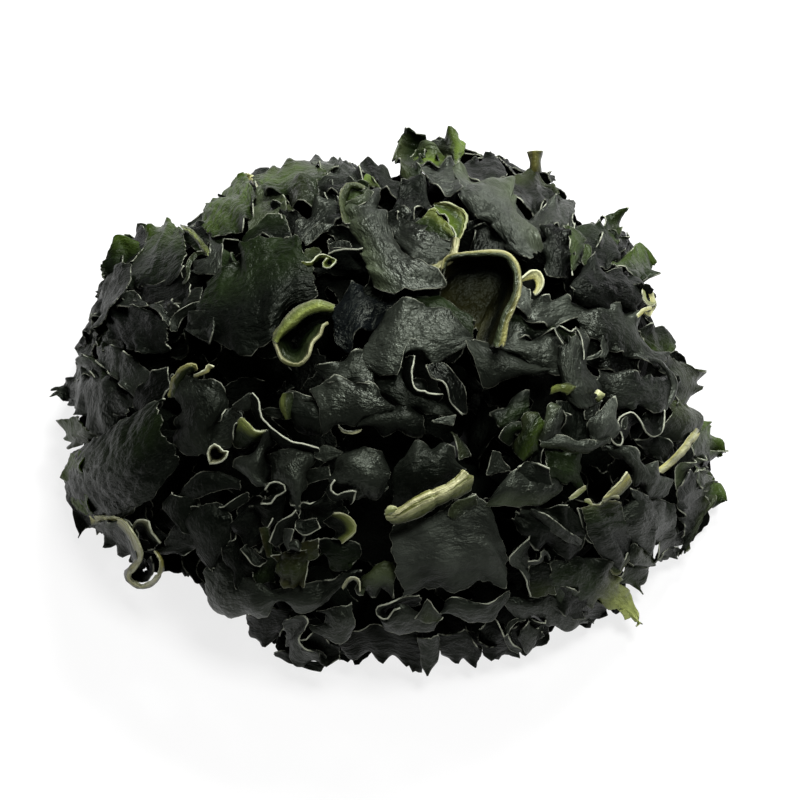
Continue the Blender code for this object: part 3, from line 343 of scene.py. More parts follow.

# %% [markdown]
# ## Colours
# Dry wakame is a green so deep that it reads as black; light from the side lifts it to slate grey. The
# ladder from deep to mist is partly the leaves' own unevenness and partly painted light and shade: deep
# and black are painted shade for leaves in shadow, and slate, ash and mist are painted light for leaves
# that the light lifts to grey. Thin, young pieces keep a bottle green; bright, fern and spring are partly
# that green and partly painted light, the glow of back light through thin leaves. Midribs dry to straw
# and lime. The colours are linear values, the kind that Blender's shaders use.

# %% Tones
TONES = {
    # deep to mist: partly painted shade (the darker tones) and partly painted light (the paler greys)
    "deep": (0.0005, 0.0007, 0.0005),
    "black": (0.0011, 0.0015, 0.0011),
    "dark": (0.0020, 0.0028, 0.0019),
    "grey": (0.0038, 0.0048, 0.0034),
    "slate": (0.0072, 0.0087, 0.0064),
    "ash": (0.0135, 0.0160, 0.0122),
    "mist": (0.0260, 0.0295, 0.0240),
    "blue": (0.0025, 0.0034, 0.0040),
    "pine": (0.0022, 0.0042, 0.0014),
    "leaf": (0.0048, 0.0088, 0.0022),
    "green": (0.0120, 0.0200, 0.0035),
    "moss": (0.0165, 0.0215, 0.0075),
    "sage": (0.0330, 0.0420, 0.0220),
    # bright: a green that is partly painted light, back light shining through thin leaves
    "bright": (0.0450, 0.0720, 0.0060),
    "olive": (0.0120, 0.0118, 0.0032),
    "lime": (0.1200, 0.1450, 0.0330),
    "straw": (0.1900, 0.1800, 0.0450),
    "pale": (0.3300, 0.3350, 0.1900),
    # spring and fern: greens that are partly painted light, back light shining through thin leaves
    "spring": (0.3000, 0.3400, 0.1100),
    "fern": (0.0220, 0.0380, 0.0040),
}


def tinted(tone, s, draw):
    """The tone of a leaf, uneven along s by slow waves."""
    uneven = 1 + waves(s, (0.7, 1.9), (0.10, 0.06), draw)[..., None] * draw.uniform(0.5, 1.5)
    return np.array(TONES[tone]) * uneven * draw.uniform(0.85, 1.15)


print(len(TONES), "tones, from", TONES["deep"], "to", TONES["pale"])

# %% [markdown]
# ## Laying a leaf on the mound
# A leaf is made lying flat at the origin, because that is where its formulas are simple. Three turned axes
# then carry it to its place: its length, the direction across it, and the direction that its face looks in.
# Whatever would sink into the table is lifted back onto it.

# %% Laying a leaf
FLOOR_GAP = 0.5  # mm


def laid(point, normal, way, pitch, yaw):
    """A function that turns a leaf's length along way and its face along normal, tips it and moves it."""
    normal = normal / np.linalg.norm(normal)
    along = way - normal * (way @ normal)
    along = along / np.linalg.norm(along)
    turn = np.stack([along, np.cross(normal, along), normal], axis=1)
    turn = turn @ np.array(Matrix.Rotation(np.radians(pitch), 3, "Y"))
    turn = turn @ np.array(Matrix.Rotation(np.radians(yaw), 3, "X"))

    def place(surface):
        moved = surface @ turn.T + point
        return moved + [0, 0, max(0, FLOOR_GAP - moved[..., 2].min())]

    return place


def leaf_shape(name, length, width, form, outline, tone, place, cell=0.85, rib=None):
    """One leaf in millimetres: vertices, faces, tint, marks and flat coordinates, seeded by its name."""
    draw = np.random.default_rng(zlib.crc32(name.encode()))
    rows, columns = (int(np.clip(size / cell, 9, 44)) for size in (length, width))
    lines = crowded(rows, EDGE_STRIP / length), crowded(columns, EDGE_STRIP / width)
    s, t = np.meshgrid(*lines, indexing="ij")
    shape = {**outline, "spikes": 0} if rib else outline
    along, across = flat_blade(s, t, draw, **shape)
    surface = bent_blade(along, across, length / 2, width / 2, draw, **form)
    thickness, midrib = ribbed(t, width, rib)
    vertices, faces = shell(place(surface - surface.reshape(-1, 3).mean(axis=0)), thickness)
    marks = marked(s, t, length, width, midrib, rib, draw)
    flat = flattened(along * length, across * width, draw)
    return vertices, faces, tinted(tone, s, draw).reshape(-1, 3), marks, flat


crown = seat(0, 40)
placed = laid(crown, mound_normal(crown), RIGHT, 0, 0)(curled)
print("laid at the crown, the blade reaches up to", placed[..., 2].max().round(1), "mm")

# %% [markdown]
# ## How leaves bend and tear
# Dried leaves come in a few shapes: flat sheets, ribbons, fans, scrolls, hoods and tight ruffles. A form
# says how a leaf is bent, in degrees, and an outline how its border is torn.

# %% Forms and outlines
FORMS = {
    "sheet": dict(bend=35, cup=25, folds=(1.0, 16), frill=0.9, crumple=0.3),
    "broad": dict(bend=45, cup=30, folds=(0.8, 13), frill=1.2, crumple=0.25, snake=8),
    "ribbon": dict(bend=55, cup=75, folds=(1.0, 9), frill=0.6, twist=20, crumple=0.15, skew=0),
    "fan": dict(bend=15, cup=10, folds=(1.2, 52), opens=0.6, frill=0.9, crumple=0.15),
    "scroll": dict(bend=15, cup=40, folds=(1.0, 10), curl=(160, -200), frill=0.5, crumple=0.15, skew=0),
    "hood": dict(bend=25, cup=150, folds=(1.0, 10), frill=0.8, crumple=0.15, flare=0.3),
    "snake": dict(bend=20, snake=42, cup=10, folds=(1.0, 8), frill=0.4, crumple=0.1, skew=0),
    "ruffle": dict(bend=50, cup=60, folds=(1.6, 52), opens=0.4, snake=25, frill=2.0, crumple=0.3),
}
OUTLINES = {"round": dict(corner=0.75, torn=0.7), "square": dict(corner=0.3, torn=0.7)}
kinds = {}


def kind(name):
    """The leaves of that kind, begun when the first of them comes."""
    return kinds.setdefault(name, Kind(name))


print(len(FORMS), "forms and", len(OUTLINES), "outlines")

# %% [markdown]
# ## Leaves drawn between rails
# The leaves on top decide how the heap looks, so each of them is drawn. Two to four rails run along a leaf
# like the ribs of a hull: its borders, and lines between them where the leaf bulges or sinks. A rail is a
# smooth curve through a few points. They are drawn on squared paper that faces the viewer, with squares of
# 0.244 mm, so a point reads "right,down,out": squares from the sheet's left and from its top, and how many
# millimetres it stands out from the mound. A leaf's tones go across it, from its first rail to its last.
# They are partly painted light and shade: a leaf that lies in shadow gets deep or black tones, and a leaf
# in the light gets slate, ash or mist.

# %% Rails
SQUARE = 0.244  # mm
PAPER_MIDDLE = (390, 430)  # squares, where the middle of the heap's base lies
RAIL_STEPS, RUN_ON = 80, 16  # steps along a rail, and how many it runs on past either end
OVERRUN = 1 + 2 * RUN_ON / RAIL_STEPS


def numbers(path):
    """The points of a path such as "10,20,3 12,25,3", as lists of numbers."""
    return [[float(value) for value in point.split(",")] for point in path.split()]


def over_mound(across, up, out):
    """The point seen at (across, up), out millimetres nearer to the viewer than the mound."""
    point = seat(across, up)
    sight = VIEWPOINT - point
    return point + out * sight / np.linalg.norm(sight)


def rail(path):
    """A Catmull-Rom curve through a path, at equal steps of length, run straight on past both ends."""
    points = numbers(path)
    middle, base = PAPER_MIDDLE
    knots = np.array([over_mound((x - middle) * SQUARE, (base - y) * SQUARE, out) for x, y, out in points])
    knots = np.vstack([2 * knots[0] - knots[1], knots, 2 * knots[-1] - knots[-2]])
    x = np.linspace(0, len(points) - 1, 40 * len(points))
    i = np.minimum(x.astype(int), len(points) - 2)
    f = (x - i)[:, None]
    a, b, c, d = (knots[i + k] for k in range(4))
    curve = b + 0.5 * f * (c - a + f * (2 * a - 5 * b + 4 * c - d + f * (3 * (b - c) + d - a)))
    length = np.r_[0, np.cumsum(np.linalg.norm(np.diff(curve, axis=0), axis=1))]
    steps = np.linspace(0, length[-1], RAIL_STEPS + 1)
    even = np.stack([np.interp(steps, length, curve[:, k]) for k in range(3)], axis=1)
    run = np.arange(1, RUN_ON + 1)[:, None]
    before = (even[0] - (even[1] - even[0]) * run)[::-1]
    after = even[-1] + (even[-1] - even[-2]) * run
    return np.vstack([before, even, after]), length[-1]


def lofted(along, across, rails):
    """The surface through the rails: at every station, the polynomial across that meets each rail."""
    stations = np.linspace(-OVERRUN, OVERRUN, RAIL_STEPS + 2 * RUN_ON + 1)
    nodes = np.linspace(-1, 1, len(rails))
    surface = np.zeros(along.shape + (3,))
    for k, curve in enumerate(rails):
        others = [n for j, n in enumerate(nodes) if j != k]
        share = np.prod([(across - n) / (nodes[k] - n) for n in others], axis=0)
        point = np.stack([np.interp(along, stations, curve[:, i]) for i in range(3)], axis=-1)
        surface += share[..., None] * point
    return surface


print("a rail through three points has", len(rail("380,430,2 390,430,3 400,430,2")[0]), "stations")

# %% [markdown]
# ## A drawn leaf
# Rails give a leaf its large form. Soft folds, a rippled border and fine creases come on top: each is a
# height that moves the surface along its normals. A small leaf also grows a little and dips its border, so
# that it tucks under its neighbours and no gap opens between them.

# %% A drawn leaf


def folded(u, v, draw):
    """Soft folds: tanh(1.8 sin) waves in nearly one direction, over flat coordinates in millimetres."""
    folds, main = np.zeros_like(u), draw.uniform(-0.7, 0.7)
    for size in (1.0, 0.7, 0.45):
        angle, apart = main + draw.normal(0, 0.25), draw.uniform(10, 18) * size
        along, across = u * np.cos(angle) - v * np.sin(angle), u * np.sin(angle) + v * np.cos(angle)
        wander = 0.8 * np.sin(across / apart * 2.5 + draw.uniform(0, TURN))
        folds += size * np.tanh(1.8 * np.sin(TURN * (along + wander) / apart + draw.uniform(0, TURN)))
    return folds - folds.mean()


OVERLAP = 0.8  # mm that a small leaf reaches over its neighbours
DIP = OVERLAP * 0.15  # mm that its border dips under them
PALE_TONES = {"pale", "lime", "bright"}
DRAWN_CELL = 0.8  # mm


def drawn(into, name, tones, *paths, tip=None, rib=None, belly=0.0, sway=0.5, frill=0.8, crumple=0.22,
          rim=1.0, **outline):
    """One leaf through its rails, with a bulge (belly), folds (sway), a rippled border (frill), creases."""
    draw = np.random.default_rng(zlib.crc32(name.encode()))
    tones = tones.split()
    curves, lengths = zip(*[rail(path) for path in paths])
    length = float(np.mean(lengths))
    inner = [curve[RUN_ON:RUN_ON + RAIL_STEPS + 1] for curve in curves]
    width = float(np.linalg.norm(np.diff(inner, axis=0), axis=-1).sum(axis=0).mean())
    rows, columns = (int(np.clip(size / DRAWN_CELL, 7, 60)) for size in (length, width))
    strips = min(EDGE_STRIP / length, 0.2), min(EDGE_STRIP / width, 0.25)
    s, t = np.meshgrid(crowded(rows, strips[0]), crowded(columns, strips[1]), indexing="ij")
    wide = float(np.clip(width / 12, 0.15, 1))
    shape = {"corner": 0.12, "torn": 0.3 + 0.4 * wide, "notches": 0, "spikes": int(wide > 0.6), **outline}
    along, across = flat_blade(s, t, draw, **shape)
    plain = not rib and into != "midribs" and not PALE_TONES & set(tones)
    small = plain and 4 < width < 14 and length > 5
    if small:
        along, across = along * (1 + 2 * OVERLAP / length), across * (1 + 2 * OVERLAP / width)
    surface = lofted(along, across, curves)
    normals = grid_normals(surface)
    toward = np.sign((normals @ TOWARD).mean())
    u, v = along * length / 2, across * width / 2
    ripple = np.sin(u / 1.5 + np.where(v > 0, 0, 2.1) + 1.2 * np.sin(u / 3.3)) * np.abs(across) ** 4
    relief = belly * toward * (1 - across ** 2) + crumple * creased(u, v, draw)
    wide = max(wide, 0.5) if small else wide
    relief = relief + wide * (sway * folded(u, v, draw) * (0.25 + np.abs(across) ** 1.5) + frill * ripple)
    if small:
        relief = relief - toward * DIP * (np.abs(s) ** 6 + np.abs(t) ** 6)
    surface = surface + normals * relief[..., None]
    surface[..., 2] = np.maximum(surface[..., 2], FLOOR_GAP)
    thickness, midrib = ribbed(t, width, rib)
    colours = np.array([TONES[tone] for tone in (tones if len(tones) > 1 else tones * 2)])
    nodes = np.linspace(-1, 1, len(colours))
    colour = np.stack([np.interp(across, nodes, colours[:, k]) for k in range(3)], axis=-1)
    if tip:
        blend = ease(along * 0.75 + 0.25)[..., None]
        colour = colour * (1 - blend) + np.array(TONES[tip]) * blend
    colour = colour * (1 + waves(u / 9, (0.7, 1.9), (0.12, 0.08), draw))[..., None]
    vertices, faces = shell(surface, thickness)
    # rim scales the pale edge line, a painted highlight where the thin edge catches the light
    marks = marked(s, t, length, width, midrib, rib, draw, rim)
    kind(into).add(vertices, faces, colour.reshape(-1, 3), marks, flattened(u, v, draw))


def tell(part):
    """Print how far the heap has come."""
    print(part, "brings the heap to", sum(k.count for k in kinds.values()), "leaves")


# The dark and the grey leaves are shaded and lit copies of one finish: a leaf that lies in shade goes to the
# dark one, whose sheen is lower, and a leaf in the light to the grey one. This is partly painted shade and
# light, and partly the leaves' own darkness.
DRAWN = ("dark_leaves", "grey_leaves", "green_leaves", "midribs")
dark, grey, green, midrib = (partial(drawn, kind_name) for kind_name in DRAWN)
print("leaves can be drawn as", DRAWN)

# %% [markdown]
# ## The crown
# The crown stands against the light. Thin young leaves there are painted a brighter green, partly their
# own colour and partly painted light for the back light shining through them. A long grey ribbon and a
# scroll run down from the top, and a pale loop and a cut stub of midrib stick out.

# %% The crown
green("crest_spike", "moss leaf leaf", "405,131,2 401,146,3 398,157,3 403,168,4 410,181,4",
    "411,131,3 412,146,1 410,157,1 412,168,3 415,181,5",
    "411,131,3 420,139,3 424,150,3 418,165,4 421,181,4", corner=0.0)
green("crest_wing", "slate moss", "424,146,3 437,142,3 449,136,3 459,133,3 466,141,3",
    "430,152,4 442,156,4 450,160,4 455,167,4 459,164,4", tip="bright")
green("crest_bowl", "sage bright grey", "411,157,4 416,149,4 427,146,4 436,151,4 446,158,4",
    "413,161,1 420,160,0 428,160,0 436,160,0 446,161,1",
    "412,163,6 418,168,6 428,170,6 438,168,6 447,163,6")
grey("crest_scrap", "ash", "424,168,6 437,168,6 452,167,6", "431,182,7 443,190,7 458,191,7")
dark("crest_right", "dark", "457,163,2 474,164,3 485,159,3 494,154,3 501,161,3 505,170,3",
    "457,169,4 468,176,4 480,179,4 492,180,4 500,180,4 506,179,4")
grey("arch", "sage mist ash", "456,170,5 478,178,6 494,177,7 508,185,7 518,206,7 530,229,7 543,247,7",
    "458,180,6 475,190,7 488,195,8 502,205,9 510,220,9 520,238,9 532,252,8",
    "458,190,4 468,205,5 480,215,6 491,221,6 498,233,6 506,247,6 522,257,7", crumple=0.3)
midrib("stub", "straw moss", "527,152,3 530,162,3 529,173,3", "543,151,3 540,162,3 541,173,3", belly=2,
    corner=0.0)
dark("stub_leaf", "moss grey slate", "500,181,3 515,176,3 534,171,3 548,179,3 560,197,3",
    "505,188,2 520,190,1 533,190,1 545,190,1 556,197,3",
    "512,200,4 523,206,5 533,210,5 545,205,5 560,199,4")
grey("ridge_right", "ash slate", "515,208,4 530,218,5 545,208,5 560,199,5 573,204,3",
    "525,235,4 540,232,4 552,228,4 562,228,4 572,218,3")
dark("under_arch", "deep black", "472,222,3 476,235,3 474,252,3", "490,221,3 500,238,3 504,254,3")
grey("crinkle", "dark slate grey", "385,215,4 402,210,6 420,212,7 436,222,7 452,238,7",
    "388,232,5 402,236,7 420,240,8 435,245,8 450,250,8",
    "398,250,6 410,258,7 422,266,7 434,266,7 446,260,7", crumple=0.5)
dark("crown_dark", "dark black", "393,205,4 400,190,5 412,181,5 424,187,5 431,201,5",
    "396,216,6 402,222,7 412,218,7 420,212,7 428,210,7")
green("lime_fold", "lime green bright", "433,204,9 447,202,10 458,207,10 467,216,10 466,226,9 459,239,9",
    "434,205,9 445,209,8 453,214,8 460,221,8 460,228,8 457,238,9",
    "434,206,10 441,214,10 447,221,10 451,227,10 454,232,10 456,238,10", rib=(-1, 0.6, 0.6))
green("lime_left", "lime green leaf", "427,212,8 437,211,9 446,221,10 455,236,10",
    "420,220,7 431,220,8 440,229,9 452,238,9", "410,226,6 425,232,7 438,238,8 450,242,8", rib=(-1, 0.4, 0.4))
midrib("lime_stalk", "moss straw", "452,238,9 450,250,9 446,257,9 437,262,8 425,270,7",
    "460,240,9 457,254,9 452,262,9 441,268,8 430,274,7", rib=(1, 1.4, 0.9))
grey("ribbon", "sage ash slate", "343,205,8 350,218,8 359,235,8 366,257,8 376,284,9",
    "358,198,9 366,215,10 377,238,10 390,262,10 405,288,10",
    "378,190,6 381,215,7 391,236,8 407,256,9 441,283,9", crumple=0.2, frill=0.1)
green("scroll_back", "leaf green", "342,192,6 352,186,6 366,187,6", "344,200,5 354,200,5 365,194,5")
green("scroll_band", "sage moss leaf", "366,187,8 354,183,9 344,187,9 339,198,9 340,211,9 343,224,9",
    "364,189,8 353,185,9 346,190,9 342,199,9 343,211,9 347,224,9",
    "362,191,7 352,189,7 348,193,7 345,200,7 347,211,7 352,224,8", rib=(-1, 0.5, 0.5))
green("scroll_lip", "sage leaf", "345,202,9 354,200,10 362,196,10 367,189,9",
    "349,208,8 356,207,9 366,203,9 374,192,8")
green("green_fold", "bright moss", "361,186,6 366,173,6 373,178,6 381,189,6",
    "364,188,5 370,187,5 376,188,5 381,190,5")
dark("back_dark", "slate grey", "357,168,2 364,162,2 380,168,2 390,174,2 402,183,2",
    "362,176,3 372,178,3 380,189,4 387,194,4 400,196,4")
grey("top_grey", "ash", "341,160,3 335,172,4 330,180,4", "351,164,3 358,176,4 365,186,4", crumple=0.4)
dark("dark_curl", "slate black", "320,183,5 330,179,5 345,178,5 356,184,5",
    "322,190,5 333,192,5 345,189,5 356,188,5")
green("back_far", "fern fern leaf", "196,224,4 204,212,4 214,199,4 227,187,4 243,173,4",
    "206,230,6 217,219,6 228,208,6 240,197,6 250,184,5",
    "214,238,7 228,236,7 243,228,7 252,212,7 256,196,6", crumple=0.3)
midrib("back_tan", "straw pale", "244,173,3 249,181,3 257,189,3", "248,173,3 255,178,3 259,187,3", belly=0.5)
dark("back_left_dark", "dark leaf", "178,238,1 190,230,2 204,226,2 218,224,2",
    "196,250,3 210,248,3 224,244,4 238,240,4", crumple=0.3)
green("back_green", "moss fern leaf", "252,176,4 264,171,4 280,169,4 291,162,5 303,160,5 318,160,4",
    "253,180,5 265,180,5 282,180,5 295,175,5 308,172,5 322,170,4",
    "254,185,6 266,192,6 282,192,6 296,190,6 310,184,6 325,178,5")
grey("top_cream", "mist sage", "312,161,2 325,160,2 341,160,2", "314,166,3 326,171,3 337,171,3")
green("green_tube", "moss leaf", "291,186,3 290,198,3 292,209,3", "317,181,4 318,193,4 313,209,4",
    belly=2.5, rib=(1, 0.4, 0.4))
grey("tube_side", "slate dark", "318,181,4 320,192,4 326,200,4", "328,186,3 334,194,4 338,206,4")
green("sage_leaf", "sage sage", "262,190,3 254,206,3 253,220,4 248,234,4",
    "276,191,3 284,203,4 281,213,4 262,224,4")
grey("sage_wing", "moss", "283,196,3 288,204,3 294,211,3", "276,208,4 284,210,4 293,212,4")
dark("wedge", "deep black", "274,208,4 288,209,4 300,216,4", "282,218,4 286,230,4 298,240,4")
green("under_sage", "leaf dark", "242,240,4 252,230,5 264,222,5 282,217,5",
    "250,242,5 262,237,5 274,236,5 288,236,5")
grey("loop_top", "slate dark", "296,229,5 305,218,5 318,205,5 332,200,5",
    "302,240,6 312,234,6 325,224,6 342,221,6")
grey("loop_cream", "slate", "303,238,7 310,231,7 320,225,7 335,224,7",
    "305,246,6 314,241,6 322,234,6 332,228,6", crumple=0.5)
dark("loop_dark", "black black dark",
    "342,222,8 352,227,8 359,234,8 361,243,8 353,252,8 345,252,8 335,250,8 327,253,8",
    "336,226,5 343,231,4 350,237,4 352,242,4 348,246,4 342,247,4 335,246,4 328,248,5",
    "325,232,4 330,236,3 335,240,3 338,242,3 338,243,3 335,243,3 331,242,3 326,243,4", rib=(-1, 0.35, 0.4))
dark("loop_tongue", "grey deep", "329,245,6 338,241,6 350,242,6", "330,249,6 340,248,6 352,248,6")
green("small_loop", "lime green",
    "301,262,9 310,263,9 316,256,9 322,254,9 330,257,9 337,260,9 333,266,9 328,269,9 323,265,9 "
    "328,258,9",
    "303,268,7 311,268,7 316,261,7 321,258,7 328,260,7 333,261,7 331,264,7 328,265,7 326,264,7 "
    "328,260,7", rib=(-1, 0.35, 0.4), sway=0)
green("loop_leaf", "moss leaf", "305,250,6 314,246,6 322,252,7", "302,262,7 310,263,7 317,256,8")
tell("the crown")

# %% [markdown]
# ## The right shoulder
# Here the leaves lie like shingles, one over the other, with a spiky leaf and two upright green ones behind
# them and a narrow vase of a leaf in front.

# %% The right shoulder
green("spiky_tip", "leaf green", "603,217,3 605,226,3 600,240,3 597,256,3",
    "624,212,3 619,225,3 616,240,3 612,262,3", tip="dark", corner=0)
dark("spiky", "leaf dark dark", "574,225,2 590,225,3 604,228,3 617,238,3 629,236,2",
    "577,243,2 592,246,3 605,247,3 615,247,3 628,240,2",
    "580,264,3 594,266,4 606,266,4 615,257,4 629,243,3")
green("right_green", "fern leaf", "612,262,3 626,258,3 634,252,3 640,243,3 645,244,2 651,261,2",
    "616,268,4 628,273,4 636,275,4 641,276,4 646,276,3 652,270,2")
dark("twin_dark", "slate black deep", "546,228,5 545,250,5 548,275,5", "552,226,7 556,250,7 556,275,6",
    "561,226,7 567,243,7 566,275,6")
green("twin_green", "green green leaf", "561,225,8 567,233,8 569,248,8 572,276,7",
    "570,228,8 576,236,8 575,250,8 574,270,7", "578,232,6 585,240,6 580,252,6 580,264,6", rib=(-1, 0.4, 0.4))
green("twin_back", "green", "582,244,5 583,253,5 581,263,5", "590,247,5 591,255,5 585,266,5")
dark("roll_right", "dark black deep", "575,278,5 583,268,6 602,265,6 612,271,6 630,275,6 643,284,5",
    "574,287,8 586,286,9 602,288,9 614,290,9 628,292,9 640,294,8",
    "577,297,6 588,304,6 602,309,6 614,310,6 628,308,6 641,304,6", crumple=0.3)
midrib("roll_frill_a", "pale straw", "642,286,7 648,288,7 653,296,7 656,306,7 650,317,6",
    "644,290,6 647,293,6 649,299,6 649,306,6 644,314,5")
midrib("roll_frill_b", "pale lime", "641,290,8 644,300,8 650,306,8 655,305,8",
    "643,288,7 647,299,7 651,303,7 656,302,7")
midrib("roll_frill_c", "pale straw", "636,315,8 642,309,8 650,306,8", "638,318,8 645,312,8 652,309,8")
grey("broad_right", "ash slate grey",
    "570,298,4 590,304,5 612,310,5 634,316,5 642,330,5 650,346,5 664,357,5",
    "575,312,6 592,318,7 608,323,7 626,330,7 637,342,7 646,352,7 662,361,7",
    "582,330,5 595,336,6 605,342,7 622,349,7 634,356,7 645,361,7 660,366,7", crumple=0.25)
dark("right_hollow", "black deep", "584,336,5 603,338,5 625,345,5 634,362,5",
    "584,360,4 604,366,4 620,372,4 640,376,4")
midrib("right_rim", "slate mist slate", "640,355,8 657,359,9 669,369,9 676,384,9 674,398,9 666,411,8",
    "642,357,8 657,361,9 667,370,9 673,384,9 672,398,9 664,410,8",
    "644,359,8 656,363,8 665,371,8 670,384,8 669,397,8 662,409,8", torn=0.1)
grey("rim_right", "dark grey slate", "604,368,7 620,375,7 638,379,8 655,379,8 669,379,7",
    "600,382,8 618,391,8 637,393,9 654,394,9 671,394,8",
    "600,394,6 616,407,7 636,405,8 652,407,8 666,411,7", crumple=0.25)
grey("edge_right", "slate moss", "664,357,3 674,375,3 676,390,3 672,404,3",
    "690,366,2 698,374,2 696,390,2 688,405,2")
green("right_lobe", "moss slate", "668,404,3 680,404,3 693,407,2", "662,430,4 676,439,4 694,436,3", belly=2)
dark("right_knob", "grey green", "640,331,2 652,330,2 664,329,1 673,339,1",
    "646,342,3 653,350,3 662,354,3 674,348,2")
grey("vase", "slate ash slate", "564,337,7 562,352,8 561,370,8 560,390,8 568,399,8",
    "572,340,10 572,355,10 572,372,10 577,392,10 583,405,9",
    "579,330,8 583,350,8 585,367,8 597,382,8 598,399,8", frill=0.1)
dark("vase_mouth", "leaf deep", "554,328,9 560,326,9 568,330,9 580,338,9",
    "558,335,8 563,342,8 566,343,8 572,344,8")
midrib("vase_rim", "mist slate",
    "563,345,10 557,336,10 554,329,10 559,326,10 566,329,10 572,332,10 575,328,10 580,334,10 "
    "583,348,10 584,360,10",
    "564,344,9 559,336,9 556,330,9 560,328,9 566,331,9 572,334,9 575,330,9 578,334,9 581,348,9 "
    "582,360,9", torn=0, sway=0, frill=0)
midrib("vase_foot_a", "lime moss", "549,393,9 560,392,10 566,395,10 573,390,10",
    "560,390,9 562,385,10 568,383,10 573,388,10", belly=1.0)
midrib("vase_foot_b", "pale lime", "594,394,9 597,390,9 602,394,9", "594,399,9 598,402,9 602,398,9",
    belly=1.0)
grey("small_fold", "ash slate", "602,335,8 600,345,8 602,352,8 598,357,8",
    "604,339,8 608,347,8 608,353,8 603,359,8")
grey("fold_arm", "ash slate", "584,358,7 592,356,8 601,350,8", "585,360,7 593,359,8 603,355,8")
tell("the right shoulder")

# %% [markdown]
# ## The middle
# The eye goes to two curls here: the hook, a tight roll with a thick green midrib, and the hood, whose pale
# rim arches over its dark inside. Below them lie a bent stem and the widest sheet.

# %% The middle
dark("hood", "olive black olive",
    "441,272,8 447,260,10 462,256,11 482,254,12 504,255,12 514,264,12 518,279,12 515,297,12 "
    "506,317,11 495,346,10",
    "444,284,4 452,276,3 464,272,3 480,271,3 495,272,3 502,280,3 504,292,3 500,306,4 493,324,4 "
    "484,347,5",
    "438,296,3 444,306,1 456,312,0 466,314,0 472,318,0 476,322,0 478,328,1 478,334,2 476,342,3 "
    "472,356,4", frill=0, sway=0.1, crumple=0.1)
midrib("hood_rim", "straw moss sage",
    "440,271,9 446,257,10 462,253,11 482,251,12 505,252,12 517,262,12 521,278,12 519,297,12 "
    "510,321,12 504,348,11",
    "443,272,9 448,259,11 463,255,12 482,254,13 503,255,13 513,264,13 517,279,13 514,298,13 "
    "504,319,13 497,348,12",
    "444,273,9 449,261,10 463,257,11 482,256,12 502,257,12 510,265,12 514,280,12 511,298,12 "
    "501,317,12 492,347,10", rib=(-1, 0.6, 0.4), frill=0, sway=0.2, crumple=0.1)
midrib("hood_curl", "pale straw", "519,279,10 529,271,10 539,271,10 544,280,10 541,289,10 534,295,10",
    "521,282,9 528,280,8 533,280,8 535,284,8 535,289,9 533,293,9", rib=(-1, 0.5, 0.5))
grey("hood_wedge", "mist", "517,284,8 524,286,8 530,292,8", "513,305,8 522,311,8 531,318,8")
grey("pale_grey", "ash ash", "530,302,6 548,301,6 566,301,6 579,309,5",
    "518,306,6 529,317,7 541,324,7 575,318,6")
grey("slab_top", "ash slate slate", "505,342,6 520,338,6 540,336,6 560,332,5",
    "504,346,7 520,347,8 538,350,8 561,350,7", "503,350,7 518,355,8 536,364,8 561,372,6", crumple=0.3)
green("slab_gap", "leaf dark", "508,310,5 518,308,5 532,320,5 556,330,5",
    "506,336,6 516,335,6 532,333,6 556,334,6")
dark("slab", "slate slate slate", "468,336,7 480,345,7 500,352,7 522,360,7 558,370,6",
    "476,358,9 490,362,9 505,366,9 525,368,9 556,370,7",
    "484,383,8 498,380,8 512,376,8 530,373,8 556,369,7", frill=0.1)
dark("hood_floor", "leaf leaf dark", "402,302,4 418,298,5 436,296,5 452,304,5 470,318,5",
    "404,310,5 420,308,6 438,310,6 452,320,6 470,332,6",
    "404,325,5 420,330,5 438,334,5 454,338,5 472,345,5", frill=0)
grey("bayed", "slate ash ash", "372,325,5 392,311,7 410,305,8 428,305,8 448,315,8 470,337,7",
    "368,346,7 390,340,9 410,336,9 430,334,9 450,336,9 470,338,7",
    "366,364,8 386,372,9 410,368,9 431,363,9 450,354,8 470,340,7", bays={1: [(-0.13, 0.26, 0.95)]},
    frill=0.1, crumple=0.08)
dark("blue_leaf", "blue blue", "334,308,5 350,298,5 366,286,5 390,290,4 402,300,3",
    "338,342,6 348,345,6 356,331,6 376,323,5 400,311,4", corner=0)
dark("blue_back", "black dark", "370,262,4 368,283,5 351,298,5", "385,285,4 385,292,4 380,302,4",
    rib=(-1, 0.3, 0.3))
midrib("hook", "moss leaf deep",
    "334,306,10 317,300,11 304,304,12 292,311,12 284,320,12 277,330,12 273,340,12 277,350,12 "
    "281,360,12 294,366,12 303,363,12 310,354,12 314,342,12 321,335,11 323,326,11 328,323,10",
    "334,312,8 320,312,8 308,316,8 298,325,8 289,331,8 283,337,8 283,343,8 286,348,8 289,353,8 "
    "295,356,8 299,353,8 301,348,8 304,341,8 310,333,8 315,328,8 322,324,8",
    "328,318,4 316,320,3 306,326,2 299,332,2 294,337,2 291,340,2 291,343,2 292,346,2 294,349,2 "
    "297,349,2 299,347,2 300,343,2 303,338,2 308,332,3 313,328,4 318,325,5", rib=(-1, 0.7, 0.7), frill=0,
    sway=0, torn=0.1, corner=0, rim=0.3)
green("hook_band", "sage lime moss",
    "334,306,10 317,300,11.5 304,304,12.5 292,311,12.5 284,320,12.5 277,330,12.5 273,341,12",
    "334,309,11 319,306,12.5 306,310,13 296,318,13 287,326,13 280,334,13 276,343,12",
    "333,313,10 320,312,11 308,316,11.5 297,325,11.5 289,331,11.5 282,338,11.5 278,345,11",
    rib=(-1, 0.5, 0.6), frill=0, sway=0)
grey("band_top", "slate grey", "317,366,7 330,366,8 345,361,8 358,355,8 370,350,7",
    "318,372,7 330,382,8 346,378,9 358,378,9 370,383,8", crumple=0.25)
